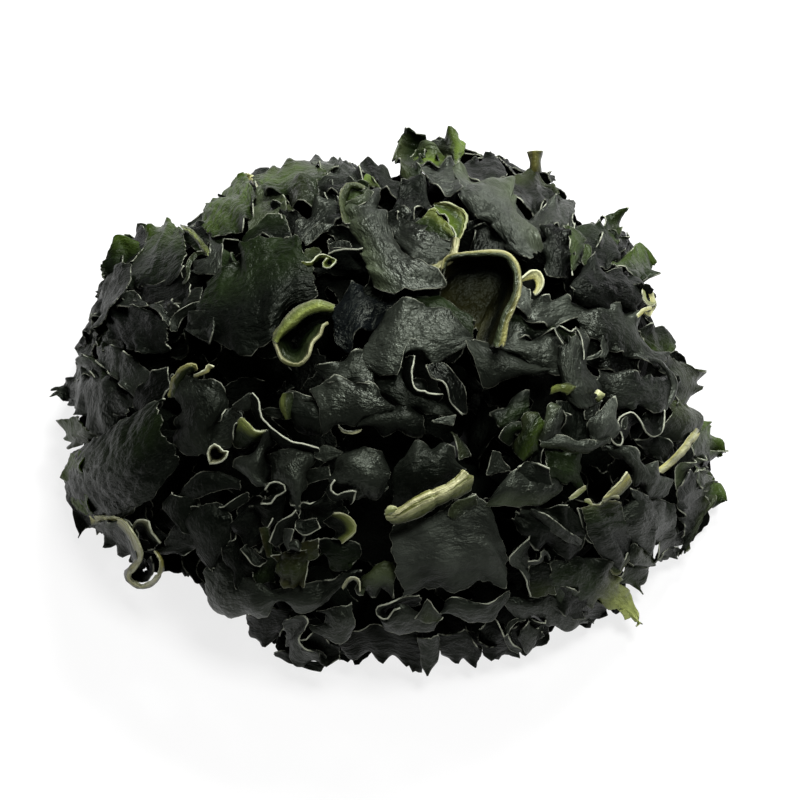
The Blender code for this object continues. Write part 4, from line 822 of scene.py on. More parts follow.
grey("band", "slate slate grey", "313,388,8 330,385,9 350,385,9 370,390,9 387,399,8 401,407,7",
    "321,408,10 333,405,10 350,403,10 367,404,10 384,406,9 401,408,7",
    "323,430,8 331,425,9 347,421,9 365,417,9 382,412,8 401,409,7", crumple=0.3)
dark("band_low", "grey slate dark", "358,421,7 375,414,8 390,410,8 405,408,8 420,413,7",
    "360,424,8 376,421,9 391,419,9 405,418,9 420,420,8",
    "362,428,7 378,429,7 392,430,8 406,429,8 420,427,7")
midrib("band_lip", "slate pale", "338,424,8 344,430,9 352,431,9 361,429,8",
    "339,427,8 345,433,9 353,434,9 361,431,8")
dark("band_right", "dark dark grey", "368,378,6 385,375,6 400,372,6 412,380,6 430,397,6 450,408,7",
    "370,386,7 386,386,8 402,390,8 418,396,8 434,401,8 452,412,8",
    "372,392,7 387,397,8 402,403,8 420,408,8 436,410,8 453,416,8")
dark("fold_a", "black deep", "415,356,9 413,370,10 412,382,10 416,389,10 424,391,10 432,394,10 444,394,9",
    "404,356,7 402,370,7 403,382,7 407,391,7 416,396,7 428,401,7 438,404,7", rib=(-1, 0.3, 0.4), sway=0.2)
dark("fold_b", "black deep", "425,366,9 431,376,10 441,382,10 448,391,10 452,403,10 461,416,9",
    "438,360,7 448,368,7 457,377,7 463,388,7 466,400,7 468,412,7", rib=(-1, 0.3, 0.4), sway=0.2)
grey("chip_mid", "mist slate", "432,421,9 444,417,9 456,415,9", "433,422,9 444,424,9 453,426,9", corner=0)
grey("mid_scrap", "moss grey", "449,432,7 455,442,7 460,460,8", "457,435,6 467,448,6 471,456,6")
dark("sheet_top", "slate dark black", "399,459,8 412,453,9 427,449,9 443,450,9 455,455,9 464,468,9",
    "396,480,9 410,474,11 424,470,11 440,470,11 452,472,10 463,474,9",
    "394,508,8 406,503,9 418,497,9 434,491,9 448,484,9 462,477,9")
midrib("stem", "straw lime olive", "385,509,11 397,509,12 415,497,12 432,490,12 447,485,12 465,467,11",
    "386,517,12 399,517,13 417,508,13 434,500,13 450,492,13 471,477,12",
    "388,524,11 401,524,12 418,517,12 436,507,12 453,498,12 475,490,11", rib=(-1, 2.6, 0.9), crumple=0.4,
    frill=0, sway=0.2, corner=0.3)
midrib("stem_knob", "pale lime", "385,511,12 389,506,12 396,507,12", "386,515,12 391,513,13 397,511,12",
    belly=0.6)
dark("front_sheet", "slate mist mist ash", "393,524,7 412,520,8 434,510,8 460,500,8 478,500,8 492,519,7",
    "393,548,9 415,544,10 438,540,10 462,536,10 484,534,10 499,543,8",
    "397,570,10 416,568,11 440,566,11 464,562,11 488,560,11 504,563,8",
    "401,594,9 418,592,9 442,590,9 466,586,9 486,585,9 505,586,8", frill=0.15, crumple=0.4, belly=0.5,
    corner=0.05)
grey("stem_shadow", "moss grey", "447,516,9 452,504,9 476,494,9", "455,520,9 466,512,9 478,508,9",
    crumple=0.6)
tell("the middle")

# %% [markdown]
# ## The left flank
# Two broad leaves cover most of this side. Small rolled ones with pale borders lie between them, and at the
# bottom a long midrib makes an S with a loop at its end.

# %% The left flank
dark("broad_left", "leaf leaf dark dark",
    "204,284,6 222,273,7 238,258,7 240,243,7 262,236,8 281,233,8 303,246,7",
    "203,296,7 222,288,9 244,278,9 256,266,9 272,260,9 288,258,9 308,262,8",
    "196,312,7 218,312,9 242,308,10 262,300,10 280,290,10 296,280,9 314,280,7",
    "189,332,6 215,343,7 240,349,8 260,349,8 276,336,7 292,312,6 318,296,5", frill=0.1, crumple=0.2)
green("gap_leaf", "leaf leaf", "221,251,5 230,254,5 237,262,5", "219,268,5 228,270,5 236,268,5")
midrib("lime_stem", "moss lime moss", "180,225,7 189,228,7 198,236,7 206,246,7 209,254,7",
    "182,228,8 190,231,8 198,240,8 205,249,8 208,255,8",
    "184,231,7 190,234,7 197,243,7 203,252,7 206,256,7", frill=0, sway=0)
midrib("lime_loop", "moss leaf", "209,253,7 200,251,8 191,256,8 186,265,8 187,276,7 182,283,6",
    "207,256,7 200,255,7 194,260,7 190,267,7 190,276,7 184,285,6", frill=0, sway=0)
grey("loop_leaf_left", "slate ash slate", "206,257,6 199,262,6 193,272,6",
    "211,248,7 210,260,7 205,272,6", "211,238,5 221,248,6 218,268,6")
dark("upper_left", "fern leaf dark",
    "111,250,2 116,235,2 130,240,3 141,238,3 148,227,3 166,223,3 183,228,3",
    "104,262,3 114,258,5 128,258,6 142,257,6 155,252,6 168,250,6 186,248,5",
    "101,278,4 112,285,5 126,288,5 142,290,5 158,287,5 174,282,5 188,270,4", torn=0.5)
# Bright green here is partly painted light: back light shining through the thin leaf.
green("left_glow", "bright bright", "112,250,2 105,262,2 101,276,2", "115,253,4 110,264,4 108,280,4")
dark("upper_left_low", "black deep", "98,292,3 115,286,4 140,288,4 165,284,4 185,276,4",
    "101,303,4 118,300,5 142,303,5 165,305,5 188,295,5")
grey("left_shelf", "slate slate", "95,306,5 112,298,5 126,292,5 135,291,5 143,302,5",
    "93,310,6 104,305,7 118,307,7 130,307,7 149,305,7", rib=(1, 0.4, 0.4), corner=0)
grey("shelf_arm", "slate", "149,305,7 158,312,7 169,327,6", "158,303,5 165,311,5 171,320,5")
dark("shelf_under", "dark black dark", "102,309,4 120,309,5 140,309,5 153,311,5 167,328,5",
    "108,325,6 124,328,7 140,330,7 154,332,7 168,338,6",
    "112,338,4 128,347,5 145,352,5 158,354,5 170,350,5", crumple=0.3)
green("left_blur", "moss leaf", "95,318,0 110,322,1 122,335,1", "98,346,0 110,352,1 124,352,1")
grey("left_dome", "slate dark", "160,305,5 167,300,6 176,304,6", "162,316,5 170,320,5 177,313,5")
grey("left_pleat", "grey dark", "176,303,4 188,292,5 204,288,5", "180,311,5 192,303,5 200,301,5")
dark("left_collar", "slate dark", "200,301,6 192,303,7 181,309,7 172,317,7 170,331,7",
    "196,312,5 190,314,5 184,318,5 180,324,5 177,332,5", rib=(-1, 0.3, 0.4))
grey("pleated_corner", "slate grey", "204,312,8 193,316,8 187,326,8", "214,318,8 212,332,8 208,341,7",
    crumple=0.5)
grey("left_tip", "grey dark dark", "58,389,1 68,382,2 78,375,3 95,374,4 115,385,4 130,398,4",
    "58,392,2 70,390,4 82,390,6 98,392,6 112,400,6 128,408,5",
    "58,395,2 70,401,3 81,411,4 92,425,4 106,430,4 124,416,4", corner=0)
green("left_fold", "leaf leaf", "72,377,1 75,364,1 84,356,1 98,362,2 112,373,3",
    "80,380,4 86,374,4 94,376,4 104,384,4 114,392,4")
grey("left_diagonal", "grey slate", "98,346,3 115,350,4 132,362,5 151,377,5",
    "100,362,4 112,372,5 125,385,6 137,396,6")
dark("left_dark", "black deep", "134,396,5 142,386,6 152,378,6 165,370,6",
    "135,410,5 145,408,6 158,402,6 168,392,6")
# Its fern green is partly painted light: back light shining through the thin leaf.
green("left_green", "fern green", "62,419,2 63,435,2 73,449,3", "80,416,4 88,428,4 98,438,4", tip="moss")
green("great_left", "slate leaf dark dark", "73,452,3 88,444,5 102,437,6 120,421,7 138,410,8 168,397,8",
    "68,470,4 84,466,7 102,462,9 122,450,10 142,436,10 158,420,9",
    "70,495,5 88,492,8 106,488,10 128,480,11 150,464,10 172,446,7",
    "77,534,5 92,529,7 112,521,9 136,512,9 158,495,8 179,463,6", crumple=0.35, frill=0.1, belly=0.8,
    sway=0.15, corner=0)
# A strip of bright green along the left border, partly painted light: back light shining through the thin
# leaf.
green("great_left_glow", "bright fern", "73,452,6.5 67,474,7 71,494,8 79,514,8.5",
    "86,452,8.5 84,474,10 88,494,11 94,514,11", crumple=0.3, rim=0.5)
midrib("s_curl", "pale straw leaf",
    "90,515,9 108,516,11 122,519,12 133,531,12 139,543,12 143,556,12 138,567,12 131,574,12 132,581,12 "
    "141,585,12 150,581,12 158,572,12 160,562,11 154,551,10",
    "91,520,9 108,519,10 121,522,11 130,533,11 136,545,11 139,556,11 135,565,11 128,573,11 130,582,11 "
    "140,588,11 151,583,11 160,573,11 162,562,10 156,551,9",
    "92,525,9 108,522,8 119,526,8 127,535,8 132,546,8 135,556,8 132,564,8 125,572,8 128,584,8 "
    "140,591,8 153,585,8 162,574,8 164,562,8 158,551,8", rib=(-1, 0.6, 0.6), torn=0, frill=0, sway=0,
    corner=0)
green("s_leaf", "leaf dark black", "92,524,9 108,521,10 120,524,10 129,534,10 134,545,10 138,556,10",
    "94,528,7 106,529,7 115,533,7 123,541,7 129,549,7 135,558,8",
    "98,531,4 104,534,4 111,540,4 119,547,4 126,554,4 133,560,5")
dark("s_bowl", "black deep", "140,556,9 136,567,9 131,576,9 140,582,9 150,577,9 156,566,9 152,555,9",
    "146,560,4 145,565,4 143,569,4 144,572,4 147,569,4 149,565,4 148,560,4")
dark("s_back", "moss black deep", "131,528,9 136,523,10 142,521,10 148,524,10 153,532,10 162,543,9",
    "135,532,6 139,529,6 143,528,6 147,530,6 151,536,6 158,545,6",
    "139,541,5 142,540,5 145,540,5 148,542,5 151,545,5 155,549,5", rib=(-1, 0.5, 0.5))
dark("smooth_edge", "grey dark dark", "143,550,7 152,549,8 161,548,8 166,539,8 171,533,8 177,522,8",
    "150,552,7 162,552,8 174,548,8 182,540,8 186,530,8 188,515,8",
    "160,553,6 176,554,7 190,552,7 198,545,7 200,532,7 196,512,7", rib=(-1, 0.3, 0.4))
dark("ribbed_left", "slate slate grey", "180,378,9 178,396,9 179,415,9 175,432,8 197,453,7",
    "188,377,10 196,396,11 199,415,11 199,434,10 206,452,8",
    "194,376,9 208,386,9 222,392,8 221,414,7 214,450,6", crumple=0.35)
midrib("left_rib", "straw moss leaf",
    "168,397,9 170,385,10 176,374,11 184,366,11 191,363,11 197,366,10 198,371,9",
    "172,397,9 174,386,11 179,376,12 186,369,12 191,367,12 194,368,10 195,371,9",
    "176,397,9 178,387,10 183,379,10 188,374,10 191,372,10 192,371,9 193,371,8", rib=(-1, 0.6, 0.6),
    frill=0, sway=0)
midrib("pale_point", "pale straw", "193,375,11 201,372,11 206,369,11 207,364,11 214,366,11",
    "194,378,10 203,375,10 209,372,10 211,367,10 214,368,10", frill=0)
midrib("ring", "pale olive deep",
    "209,462,10 207,453,10 211,446,10 217,445,10 223,451,10 228,451,10 225,459,10 218,463,10 "
    "209,463,10",
    "212,459,7 210,453,7 213,449,7 217,449,7 220,453,7 224,454,7 221,458,7 217,460,7 212,460,7",
    "214,456,4 213,454,4 214,452,4 216,452,4 218,454,4 219,455,4 218,456,4 216,457,4 214,457,4",
    rib=(-1, 0.4, 0.4), torn=0, frill=0, sway=0, corner=0)
grey("mid_wing", "grey slate", "219,419,7 227,412,7 234,407,7 241,412,7",
    "208,441,7 218,444,8 228,440,8 237,428,8")
grey("mid_fold", "slate grey", "232,405,8 240,400,8 250,392,9 253,396,9",
    "237,411,7 243,411,8 249,410,8 251,408,8")
dark("mid_edge", "dark black",
    "250,392,10 258,399,10 260,410,10 266,422,10 276,432,10 290,440,10 305,444,10 320,450,9",
    "251,400,8 252,410,8 255,419,7 262,430,7 272,440,7 285,448,7 300,452,7 316,455,7", rib=(-1, 0.3, 0.4))
green("mid_left", "lime leaf black", "238,422,9 241,416,10 248,423,10 256,430,10 268,430,9",
    "236,432,8 241,432,9 248,436,9 254,438,9 262,436,8",
    "233,442,7 239,447,7 246,449,7 252,446,7 258,440,7", rib=(-1, 0.5, 0.5))
grey("triangle", "ash slate black", "262,433,9 255,446,9 248,458,9 241,466,9 247,475,9 262,482,9",
    "267,434,9 261,448,9 257,460,10 254,468,10 257,477,9 264,485,9",
    "272,436,7 269,448,7 266,460,7 265,469,7 265,478,7 267,488,7", corner=0)
grey("drop", "slate ash slate", "269,456,8 276,470,9 281,482,9 288,496,9 294,507,9",
    "288,452,9 292,467,10 293,481,11 295,495,10 296,507,9",
    "306,450,7 309,466,8 305,482,8 301,494,9 298,507,9", crumple=0.4, corner=0)
dark("dark_loops", "grey deep",
    "265,489,10 272,483,10 281,484,10 284,491,10 277,497,10 272,505,10 261,503,10",
    "268,491,7 272,488,7 277,489,7 278,492,7 273,495,7 269,500,7 263,500,7", rib=(-1, 0.3, 0.4), corner=0)
dark("loops_drop", "dark grey", "256,505,7 265,507,8 282,496,7", "262,516,6 270,524,7 280,518,6")
green("striped", "lime moss leaf", "283,394,8 280,402,9 281,412,9 286,420,9",
    "287,393,9 286,402,10 287,412,10 288,419,9", "292,393,8 294,402,8 293,411,8 290,418,8")
grey("striped_top", "slate slate", "284,393,7 294,391,8 305,395,8 316,398,8",
    "290,399,7 298,401,8 306,401,8 315,401,8")
dark("dark_pillow", "grey dark grey", "293,404,8 303,401,8 316,401,8 325,416,8",
    "291,412,9 302,413,10 314,415,10 324,422,9", "292,418,8 298,426,8 310,433,8 322,431,8")
grey("tiny_grey", "grey", "262,410,7 270,407,7 281,409,7", "266,416,7 274,418,7 284,420,7")
dark("black_sheet", "grey dark dark", "170,495,6 178,494,7 187,484,8 200,473,8 220,473,7 241,480,6",
    "171,497,7 182,496,8 194,489,9 206,482,9 222,480,8 241,484,7",
    "172,500,6 185,499,7 200,497,8 215,492,8 228,489,7 241,490,6", frill=0.1)
dark("black_bulge", "grey dark", "168,497,8 165,505,8 169,514,8 177,524,8",
    "192,500,8 190,508,8 190,518,8 192,532,8", belly=1)
dark("smooth_left", "grey dark dark", "192,508,7 189,522,8 192,536,8 200,556,8 211,569,8",
    "206,507,9 206,522,10 208,537,10 210,553,9 213,568,8",
    "222,506,7 228,520,8 227,535,8 222,552,8 215,567,8", frill=0.1)
dark("low_line", "grey black", "190,506,8 207,507,8 222,507,8 232,500,8 248,492,7",
    "192,512,7 208,514,7 224,514,7 236,508,7 250,500,6")
tell("the left flank")

# %% [markdown]
# ## The rosette and the front edge
# A rosette is a knot of tiny ruffles from one torn leaf. The ruffles need no rails, because no eye follows
# them one by one: a formed leaf is laid at each place. The leaves below them are drawn again, and curl up
# off the table.

# %% The rosette and the front edge
FACING = 0.6  # how far a ruffle turns from the mound's slope to the viewer
RUFFLE_RIM = (1, 0.35, 0.4)  # the side, width and thickness of its pale border
RUFFLES = {  # across, up, height, length, width in mm, the angle of its length, its yaw, its tone
    "rosette_a": (-32, -21, 5, 12, 10, 40, 20, "black"),
    "rosette_b": (-34, -30, 5, 13, 10, 100, -20, "black"),
    "rosette_c": (-29, -31, 5, 10, 8, 70, 30, "leaf"),
    "rosette_d": (-16, -19, 5, 10, 9, 10, 30, "dark"),
    "rosette_e": (-20, -22, 4, 10, 8, 90, 40, "black"),
}
for name, (across, up, height, length, width, angle, yaw, tone) in RUFFLES.items():
    point = seat(across, up)
    normal = (1 - FACING) * mound_normal(point) + FACING * TOWARD
    normal = normal / np.linalg.norm(normal)
    way = np.cos(np.radians(angle)) * RIGHT + np.sin(np.radians(angle)) * UPWARD
    place = laid(point + normal * height, normal, way, 0, yaw)
    form, outline = FORMS["ruffle"], OUTLINES["round"]
    made = leaf_shape(name, length, width, form, outline, tone, place, rib=RUFFLE_RIM)
    kind("dark_leaves").add(*made)
green("olive_crumple", "olive moss olive", "272,556,8 285,553,9 300,551,9 318,545,8",
    "276,566,9 288,570,10 298,570,10 308,564,9", "280,576,8 289,585,9 298,589,9 305,585,9",
    rib=(1, 0.5, 0.4), crumple=1.2)
grey("rosette_fold", "grey mist", "284,528,9 284,540,9 288,551,9", "294,529,10 291,539,10 291,548,10")
grey("rosette_blob", "slate", "290,542,10 297,540,10 302,546,10", "290,548,10 296,550,10 301,550,10",
    belly=1)
dark("rosette_arc", "grey black", "295,527,10 300,534,10 308,535,10 320,527,10",
    "296,519,8 302,520,8 308,520,8 317,519,8", rib=(-1, 0.35, 0.4))
green("rosette_side", "olive moss", "300,543,9 308,541,9 319,538,10", "302,558,9 310,561,9 318,556,10",
    crumple=0.3)
dark("rosette_edge", "grey black", "268,541,10 273,531,10 280,522,10 288,517,10 296,510,10",
    "276,547,8 284,541,8 290,533,8 294,525,8 299,517,8", rib=(-1, 0.35, 0.4))
dark("rosette_low", "grey black", "240,549,9 247,558,9 252,564,9 260,567,9",
    "247,543,7 254,550,7 260,556,7 268,560,7", rib=(-1, 0.35, 0.4))
green("rosette_green", "olive leaf", "259,528,8 262,540,9 267,558,9", "268,526,8 270,541,8 272,556,8")
dark("small_cup", "lime grey black", "333,511,9 344,514,10 353,523,10 355,531,10 350,538,10 343,542,9",
    "331,516,8 338,519,9 344,525,9 345,531,9 342,535,9 337,539,9",
    "322,522,7 328,525,8 333,529,8 335,532,8 334,536,8 332,540,8", rib=(-1, 0.6, 0.5))
dark("teal_drop", "dark pine leaf", "320,545,7 332,543,8 345,543,8 359,550,7",
    "323,552,8 332,555,9 344,556,9 356,557,8", "324,556,8 333,566,8 341,570,8 352,564,8")
grey("lit_mid", "slate slate ash grey", "329,475,7 341,460,8 355,451,8 372,452,7 388,466,6",
    "330,477,9 343,468,10 357,464,10 372,465,9 388,472,8",
    "333,482,9 345,480,10 357,479,10 371,479,10 386,480,8",
    "336,488,8 346,491,8 356,493,8 370,494,8 385,488,7", crumple=0.5)
grey("lit_wing", "grey grey", "302,470,6 315,468,7 329,466,7", "303,487,6 315,482,7 331,478,8")
grey("lit_scrap", "slate", "314,453,8 325,445,8 343,452,8", "315,458,8 326,461,8 340,456,8", crumple=0.4)
dark("lit_fold", "slate dark", "336,480,10 332,489,10 338,496,10 346,492,10 356,490,10 354,500,9",
    "330,484,8 327,491,8 333,501,8 342,500,8 348,500,8 350,506,8", rib=(-1, 0.35, 0.4))
grey("crescent", "slate grey slate ash",
    "216,556,6 232,562,7 246,576,7 264,586,8 286,590,8 310,588,8 332,582,8 356,570,7",
    "210,572,8 224,580,9 246,588,10 266,594,10 286,596,10 308,596,10 330,590,9 354,574,8",
    "206,582,8 217,596,10 246,602,11 267,601,11 284,600,11 306,603,11 328,597,10 350,579,8",
    "207,592,7 216,609,9 250,615,10 268,606,10 282,602,10 302,610,10 326,603,9 346,582,8", crumple=0.3,
    frill=0.1, corner=0)
midrib("crescent_tail", "pale slate", "342,588,9 347,579,10 354,577,10 359,580,10 361,591,10",
    "343,590,8 349,582,9 354,579,9 358,583,9 360,592,9", frill=0, torn=0)
green("tail_leaf", "moss sage slate", "361,591,9 362,580,9 368,573,9 382,568,8 391,573,8",
    "363,592,10 368,584,10 374,580,10 382,577,9 391,580,9",
    "364,593,9 371,589,9 378,588,9 386,588,8 391,588,8", crumple=0.4)
dark("under_crescent", "deep black", "249,615,3 257,613,4 270,610,5 288,611,5",
    "252,638,3 264,641,4 274,638,5 284,628,5")
grey("bottom_curl", "slate grey dark",
    "281,622,8 290,617,9 302,614,9 309,621,10 302,629,10 300,637,10 304,646,10 314,653,10 328,660,9",
    "283,627,8 288,624,8 296,623,8 299,627,8 296,633,8 293,641,8 296,650,8 304,657,8 320,662,8",
    "283,632,6 285,631,6 288,632,6 288,636,6 286,642,6 286,648,6 290,655,6 298,661,6 314,665,6",
    rib=(-1, 0.4, 0.4), corner=0)
dark("bottom_dark", "dark grey", "274,652,4 284,650,5 295,657,5 310,661,6 327,661,6",
    "275,657,4 284,662,4 296,667,5 308,671,5 321,674,5")
grey("bottom_lit", "ash slate grey",
    "352,604,9 354,618,10 355,628,10 349,637,10 338,640,10 326,637,10 314,633,9",
    "336,607,9 340,617,11 341,625,11 337,630,11 331,632,11 322,631,10 312,630,9",
    "312,611,7 318,613,8 325,617,9 326,622,9 322,625,9 316,627,8 309,628,8", rib=(-1, 0.35, 0.4),
    crumple=0.3)
dark("bottom_bowl", "black grey slate", "303,636,8 315,637,8 328,641,8 337,647,8",
    "304,641,6 315,645,6 326,649,6 336,652,7", "306,646,8 315,653,9 326,659,9 336,658,8")
dark("s_front", "slate black",
    "400,606,10 394,609,10 390,616,10 384,620,10 378,616,10 377,609,10 386,603,10 400,599,9 420,596,8",
    "398,612,6 394,613,6 391,615,6 387,616,6 384,614,6 384,611,6 389,608,6 400,606,6 420,604,6",
    rib=(-1, 0.35, 0.4), sway=0, corner=0)
grey("s_front_body", "slate slate grey",
    "377,612,9 381,619,9 386,621,9 391,616,9 396,608,9 404,606,9 420,612,8 434,618,7",
    "378,616,9 382,622,9 387,624,10 392,621,10 397,617,10 404,616,10 418,618,9 434,622,8",
    "380,621,8 384,627,8 389,629,8 394,629,9 400,629,9 406,628,9 418,627,8 432,626,7", frill=0)
grey("chip_front", "slate moss", "415,618,11 421,610,12 427,600,12 433,606,12 441,619,11",
    "416,619,11 423,622,12 429,624,12 435,622,12 443,618,11", corner=0)
grey("front_band", "dark slate grey", "440,612,8 450,598,9 464,599,10 480,603,10 496,599,10 511,590,9",
    "440,613,9 452,607,10 466,610,11 480,612,11 494,609,10 508,597,9",
    "440,615,8 454,616,9 468,621,9 480,622,9 492,618,9 505,605,8", rib=(-1, 0.3, 0.4))
grey("bottom_point", "slate grey", "417,637,6 420,650,6 421,663,6 426,675,6",
    "438,632,6 440,647,6 436,660,6 428,675,6", crumple=0.5, belly=1.0, corner=0)
dark("bottom_small", "dark grey", "442,638,5 456,634,6 468,638,6 480,651,5",
    "444,658,4 456,658,5 466,660,5 474,663,5")
dark("bottom_mid", "deep black", "482,630,5 495,625,6 506,630,6", "486,655,5 500,658,5 515,655,5")
grey("bottom_crumple", "slate grey", "527,620,8 519,621,8 511,628,8 508,636,8 514,644,8 522,651,8",
    "518,617,7 510,621,7 505,629,7 504,638,7 509,648,7 517,655,7", rib=(-1, 0.35, 0.4))
grey("bottom_wedge", "slate", "522,630,8 528,628,9 533,631,9 542,626,8",
    "521,640,8 526,650,8 531,650,8 540,632,8", crumple=0.6)
dark("bottom_hollow", "deep black", "513,630,7 520,624,7 528,622,7 545,618,6",
    "514,642,6 521,648,6 528,652,6 545,634,6")
dark("low_shadow", "deep black", "340,640,3 370,630,4 400,632,4 420,635,4",
    "350,656,2 372,656,3 400,660,3 420,667,3")
tell("the front edge")

# %% [markdown]
# ## The right flank
# This side is the most broken up: a cluster of small upright leaves, several rolled rims, stems of pale
# midrib, and a long leaf that runs out into a green point.

# %% The right flank
dark("cluster_left", "grey leaf dark", "498,418,8 504,409,8 513,401,8 525,399,7",
    "501,424,9 509,416,9 518,411,9 526,408,8", "505,430,8 510,424,9 520,421,9 528,415,8", crumple=0.3)
dark("cluster_edge", "slate leaf grey", "499,438,9 503,429,10 511,422,10 522,421,9",
    "503,442,9 507,434,10 513,429,10 521,428,9", "508,446,8 511,440,8 516,435,8 520,434,8",
    rib=(-1, 0.35, 0.4))
green("cluster_a", "moss leaf fern dark", "514,447,9 518,435,10 524,423,10 534,414,9",
    "518,452,10 524,438,11 530,426,11 537,417,10", "524,457,10 531,444,11 535,432,11 540,422,10",
    "528,459,9 538,450,9 540,438,9 543,426,9", crumple=0.3)
grey("cluster_b", "sage ash slate", "538,437,9 541,426,10 548,416,10 556,407,9",
    "544,440,10 550,430,11 555,420,11 560,411,10", "552,444,8 558,436,9 562,426,9 564,416,9", crumple=0.3)
dark("cluster_dark", "dark black", "560,404,8 564,420,8 566,438,8", "590,410,7 590,424,7 592,438,8",
    crumple=0.3)
grey("cluster_c", "ash ash moss", "540,437,9 560,437,10 580,440,10 598,440,10 613,434,10",
    "540,442,10 560,443,11 578,447,11 592,448,11 608,440,10",
    "538,446,9 558,448,9 575,453,9 588,453,9 604,444,9", rib=(-1, 0.3, 0.4))
green("cluster_low", "leaf leaf leaf", "548,450,8 560,451,8 574,454,8 580,462,7",
    "549,464,10 560,466,10 572,470,10 579,474,8", "552,478,9 562,480,9 572,484,9 580,487,8")
dark("cluster_gap", "black grey", "545,447,9 540,456,9 542,468,9 541,476,9",
    "535,452,7 530,460,7 530,468,7 533,476,7")
grey("chip_right", "mist mist ash", "611,403,10 615,417,11 618,427,11 610,438,10",
    "604,409,10 605,420,11 605,430,11 602,439,10", "597,415,10 591,423,10 592,431,10 595,440,10", corner=0)
grey("chip_back", "slate grey", "583,410,8 592,406,8 602,400,7", "584,420,8 592,420,8 598,410,8")
dark("right_rims", "dark black deep",
    "612,437,9 618,430,10 618,421,10 624,414,10 633,412,10 640,420,10 646,433,10 654,437,10 "
    "662,431,10 665,411,9",
    "618,438,7 623,431,7 624,424,7 628,420,7 632,419,7 637,422,7 646,424,8 653,425,8 659,422,8 "
    "662,410,7",
    "624,440,4 627,434,4 629,428,4 631,425,4 633,424,4 638,420,4 646,412,6 652,410,6 656,410,6 "
    "659,409,6", rib=(-1, 0.35, 0.4), sway=0, frill=0, corner=0)
grey("rims_chip", "slate", "620,428,10 622,420,10 626,416,10", "624,430,10 627,425,10 628,418,10")
dark("rims_small", "slate deep", "611,437,10 614,443,10 620,446,10 623,440,10 621,431,10",
    "615,437,8 616,440,8 619,441,8 620,438,8 619,433,8", rib=(-1, 0.3, 0.4))
grey("right_band", "ash ash slate", "604,444,6 620,445,8 636,458,9 652,470,9 672,478,8",
    "607,448,7 622,453,9 637,465,10 653,478,10 670,485,9",
    "610,452,6 622,460,7 636,474,8 650,490,8 664,496,8")
dark("right_shade", "dark grey", "640,442,5 660,440,6 672,450,6", "650,456,5 662,460,6 668,462,6")
midrib("right_stem", "straw pale straw", "655,470,8 668,460,8 680,447,8 690,434,7 696,425,6",
    "658,472,8.5 671,462,8.5 683,449,8.5 693,437,7.5 698,430,6",
    "661,474,8 674,464,8 687,450,8 697,437,7 700,431,6", frill=0, sway=0)
green("far_right", "fern green leaf", "698,430,5 703,424,5 712,432,5 720,441,5 723,452,5",
    "695,440,7 700,438,7 706,444,7 712,450,7 718,454,6",
    "692,452,7 697,453,7 703,456,7 708,457,7 715,457,6")
dark("far_rims", "sage deep dark", "681,484,6 678,490,6 682,470,6 690,464,6 702,459,5 724,450,3",
    "684,484,5 683,488,5 686,472,5 693,467,5 704,462,4 722,453,3",
    "686,486,5 688,482,5 690,473,5 696,468,5 706,464,4 720,455,3", sway=0)
green("right_wing", "dark slate moss", "683,468,9 678,486,9 679,505,9 682,525,8 681,545,7 678,556,6",
    "697,470,9 694,488,9 694,506,9 693,522,9 688,540,8 682,555,6",
    "700,469,7 714,482,6 714,500,6 704,516,6 694,537,6 684,556,6", crumple=0.5)
green("right_wing_top", "fern leaf", "697,468,8 706,473,7 714,479,6 714,487,6 719,487,5 725,498,5",
    "697,486,9 703,492,8 708,500,8 711,503,7 716,504,6 722,504,5", crumple=0.3)
green("right_cup", "moss leaf dark black", "580,507,9 590,505,10 604,502,10 620,500,9",
    "584,522,10 594,520,11 607,518,11 624,516,9", "590,540,9 600,538,10 612,536,10 630,534,8",
    "612,570,8 618,568,8 624,560,8 633,548,7", rib=(-1, 0.5, 0.5), frill=0.1)
green("cup_lip", "moss leaf", "609,570,9 613,575,10 620,572,10 630,560,9",
    "614,560,9 617,563,9 621,561,9 628,552,8", rib=(-1, 0.5, 0.5))
dark("cup_left", "slate dark", "576,508,9 581,522,9 587,540,9 600,548,9 613,560,8",
    "584,508,9 592,520,9 600,534,9 610,544,9 616,556,8", rib=(-1, 0.35, 0.4))
midrib("lime_tip", "pale straw moss", "602,500,11 610,490,11 618,482,11 627,471,11",
    "606,498,11 614,492,11 621,485,11 629,476,11", "612,497,10 619,495,10 625,490,10 631,482,10",
    rib=(-1, 0.6, 0.6), frill=0, sway=0.1)
midrib("lime_tip_low", "pale moss", "602,501,11 608,496,11 614,495,11 619,496,11",
    "604,503,10 609,499,10 614,498,10 619,499,10", frill=0, sway=0)
midrib("pale_pair_a", "pale lime", "568,498,10 575,492,10 585,485,10", "569,500,10 577,497,10 586,489,10")
midrib("pale_pair_b", "pale lime", "584,499,10 589,499,10 593,505,10", "584,502,10 587,503,10 591,506,10")
grey("right_slab", "slate slate grey", "622,510,7 635,503,8 655,503,8 674,505,6",
    "628,528,9 640,524,10 656,524,10 673,524,8", "633,543,7 645,545,8 658,545,8 672,532,7", frill=0.1)
grey("right_blob", "slate moss", "632,546,7 630,556,8 636,565,8 645,566,7",
    "637,546,7 643,550,7 650,556,7 653,561,6", belly=1)
grey("right_fold", "slate slate", "653,561,7 660,548,8 668,538,8 680,529,7",
    "662,559,6 670,552,6 676,546,6 681,540,6", crumple=0.3)
grey("right_pocket", "grey slate", "655,559,5 666,549,6 680,549,5", "660,561,4 670,560,4 679,556,4",
    crumple=0.5)
grey("right_hinge", "ash", "630,488,9 640,492,9 648,496,9", "633,498,8 641,503,8 649,502,8")
dark("foot_right", "leaf green", "618,578,4 630,568,5 646,566,4", "630,585,3 640,587,3 646,578,3")
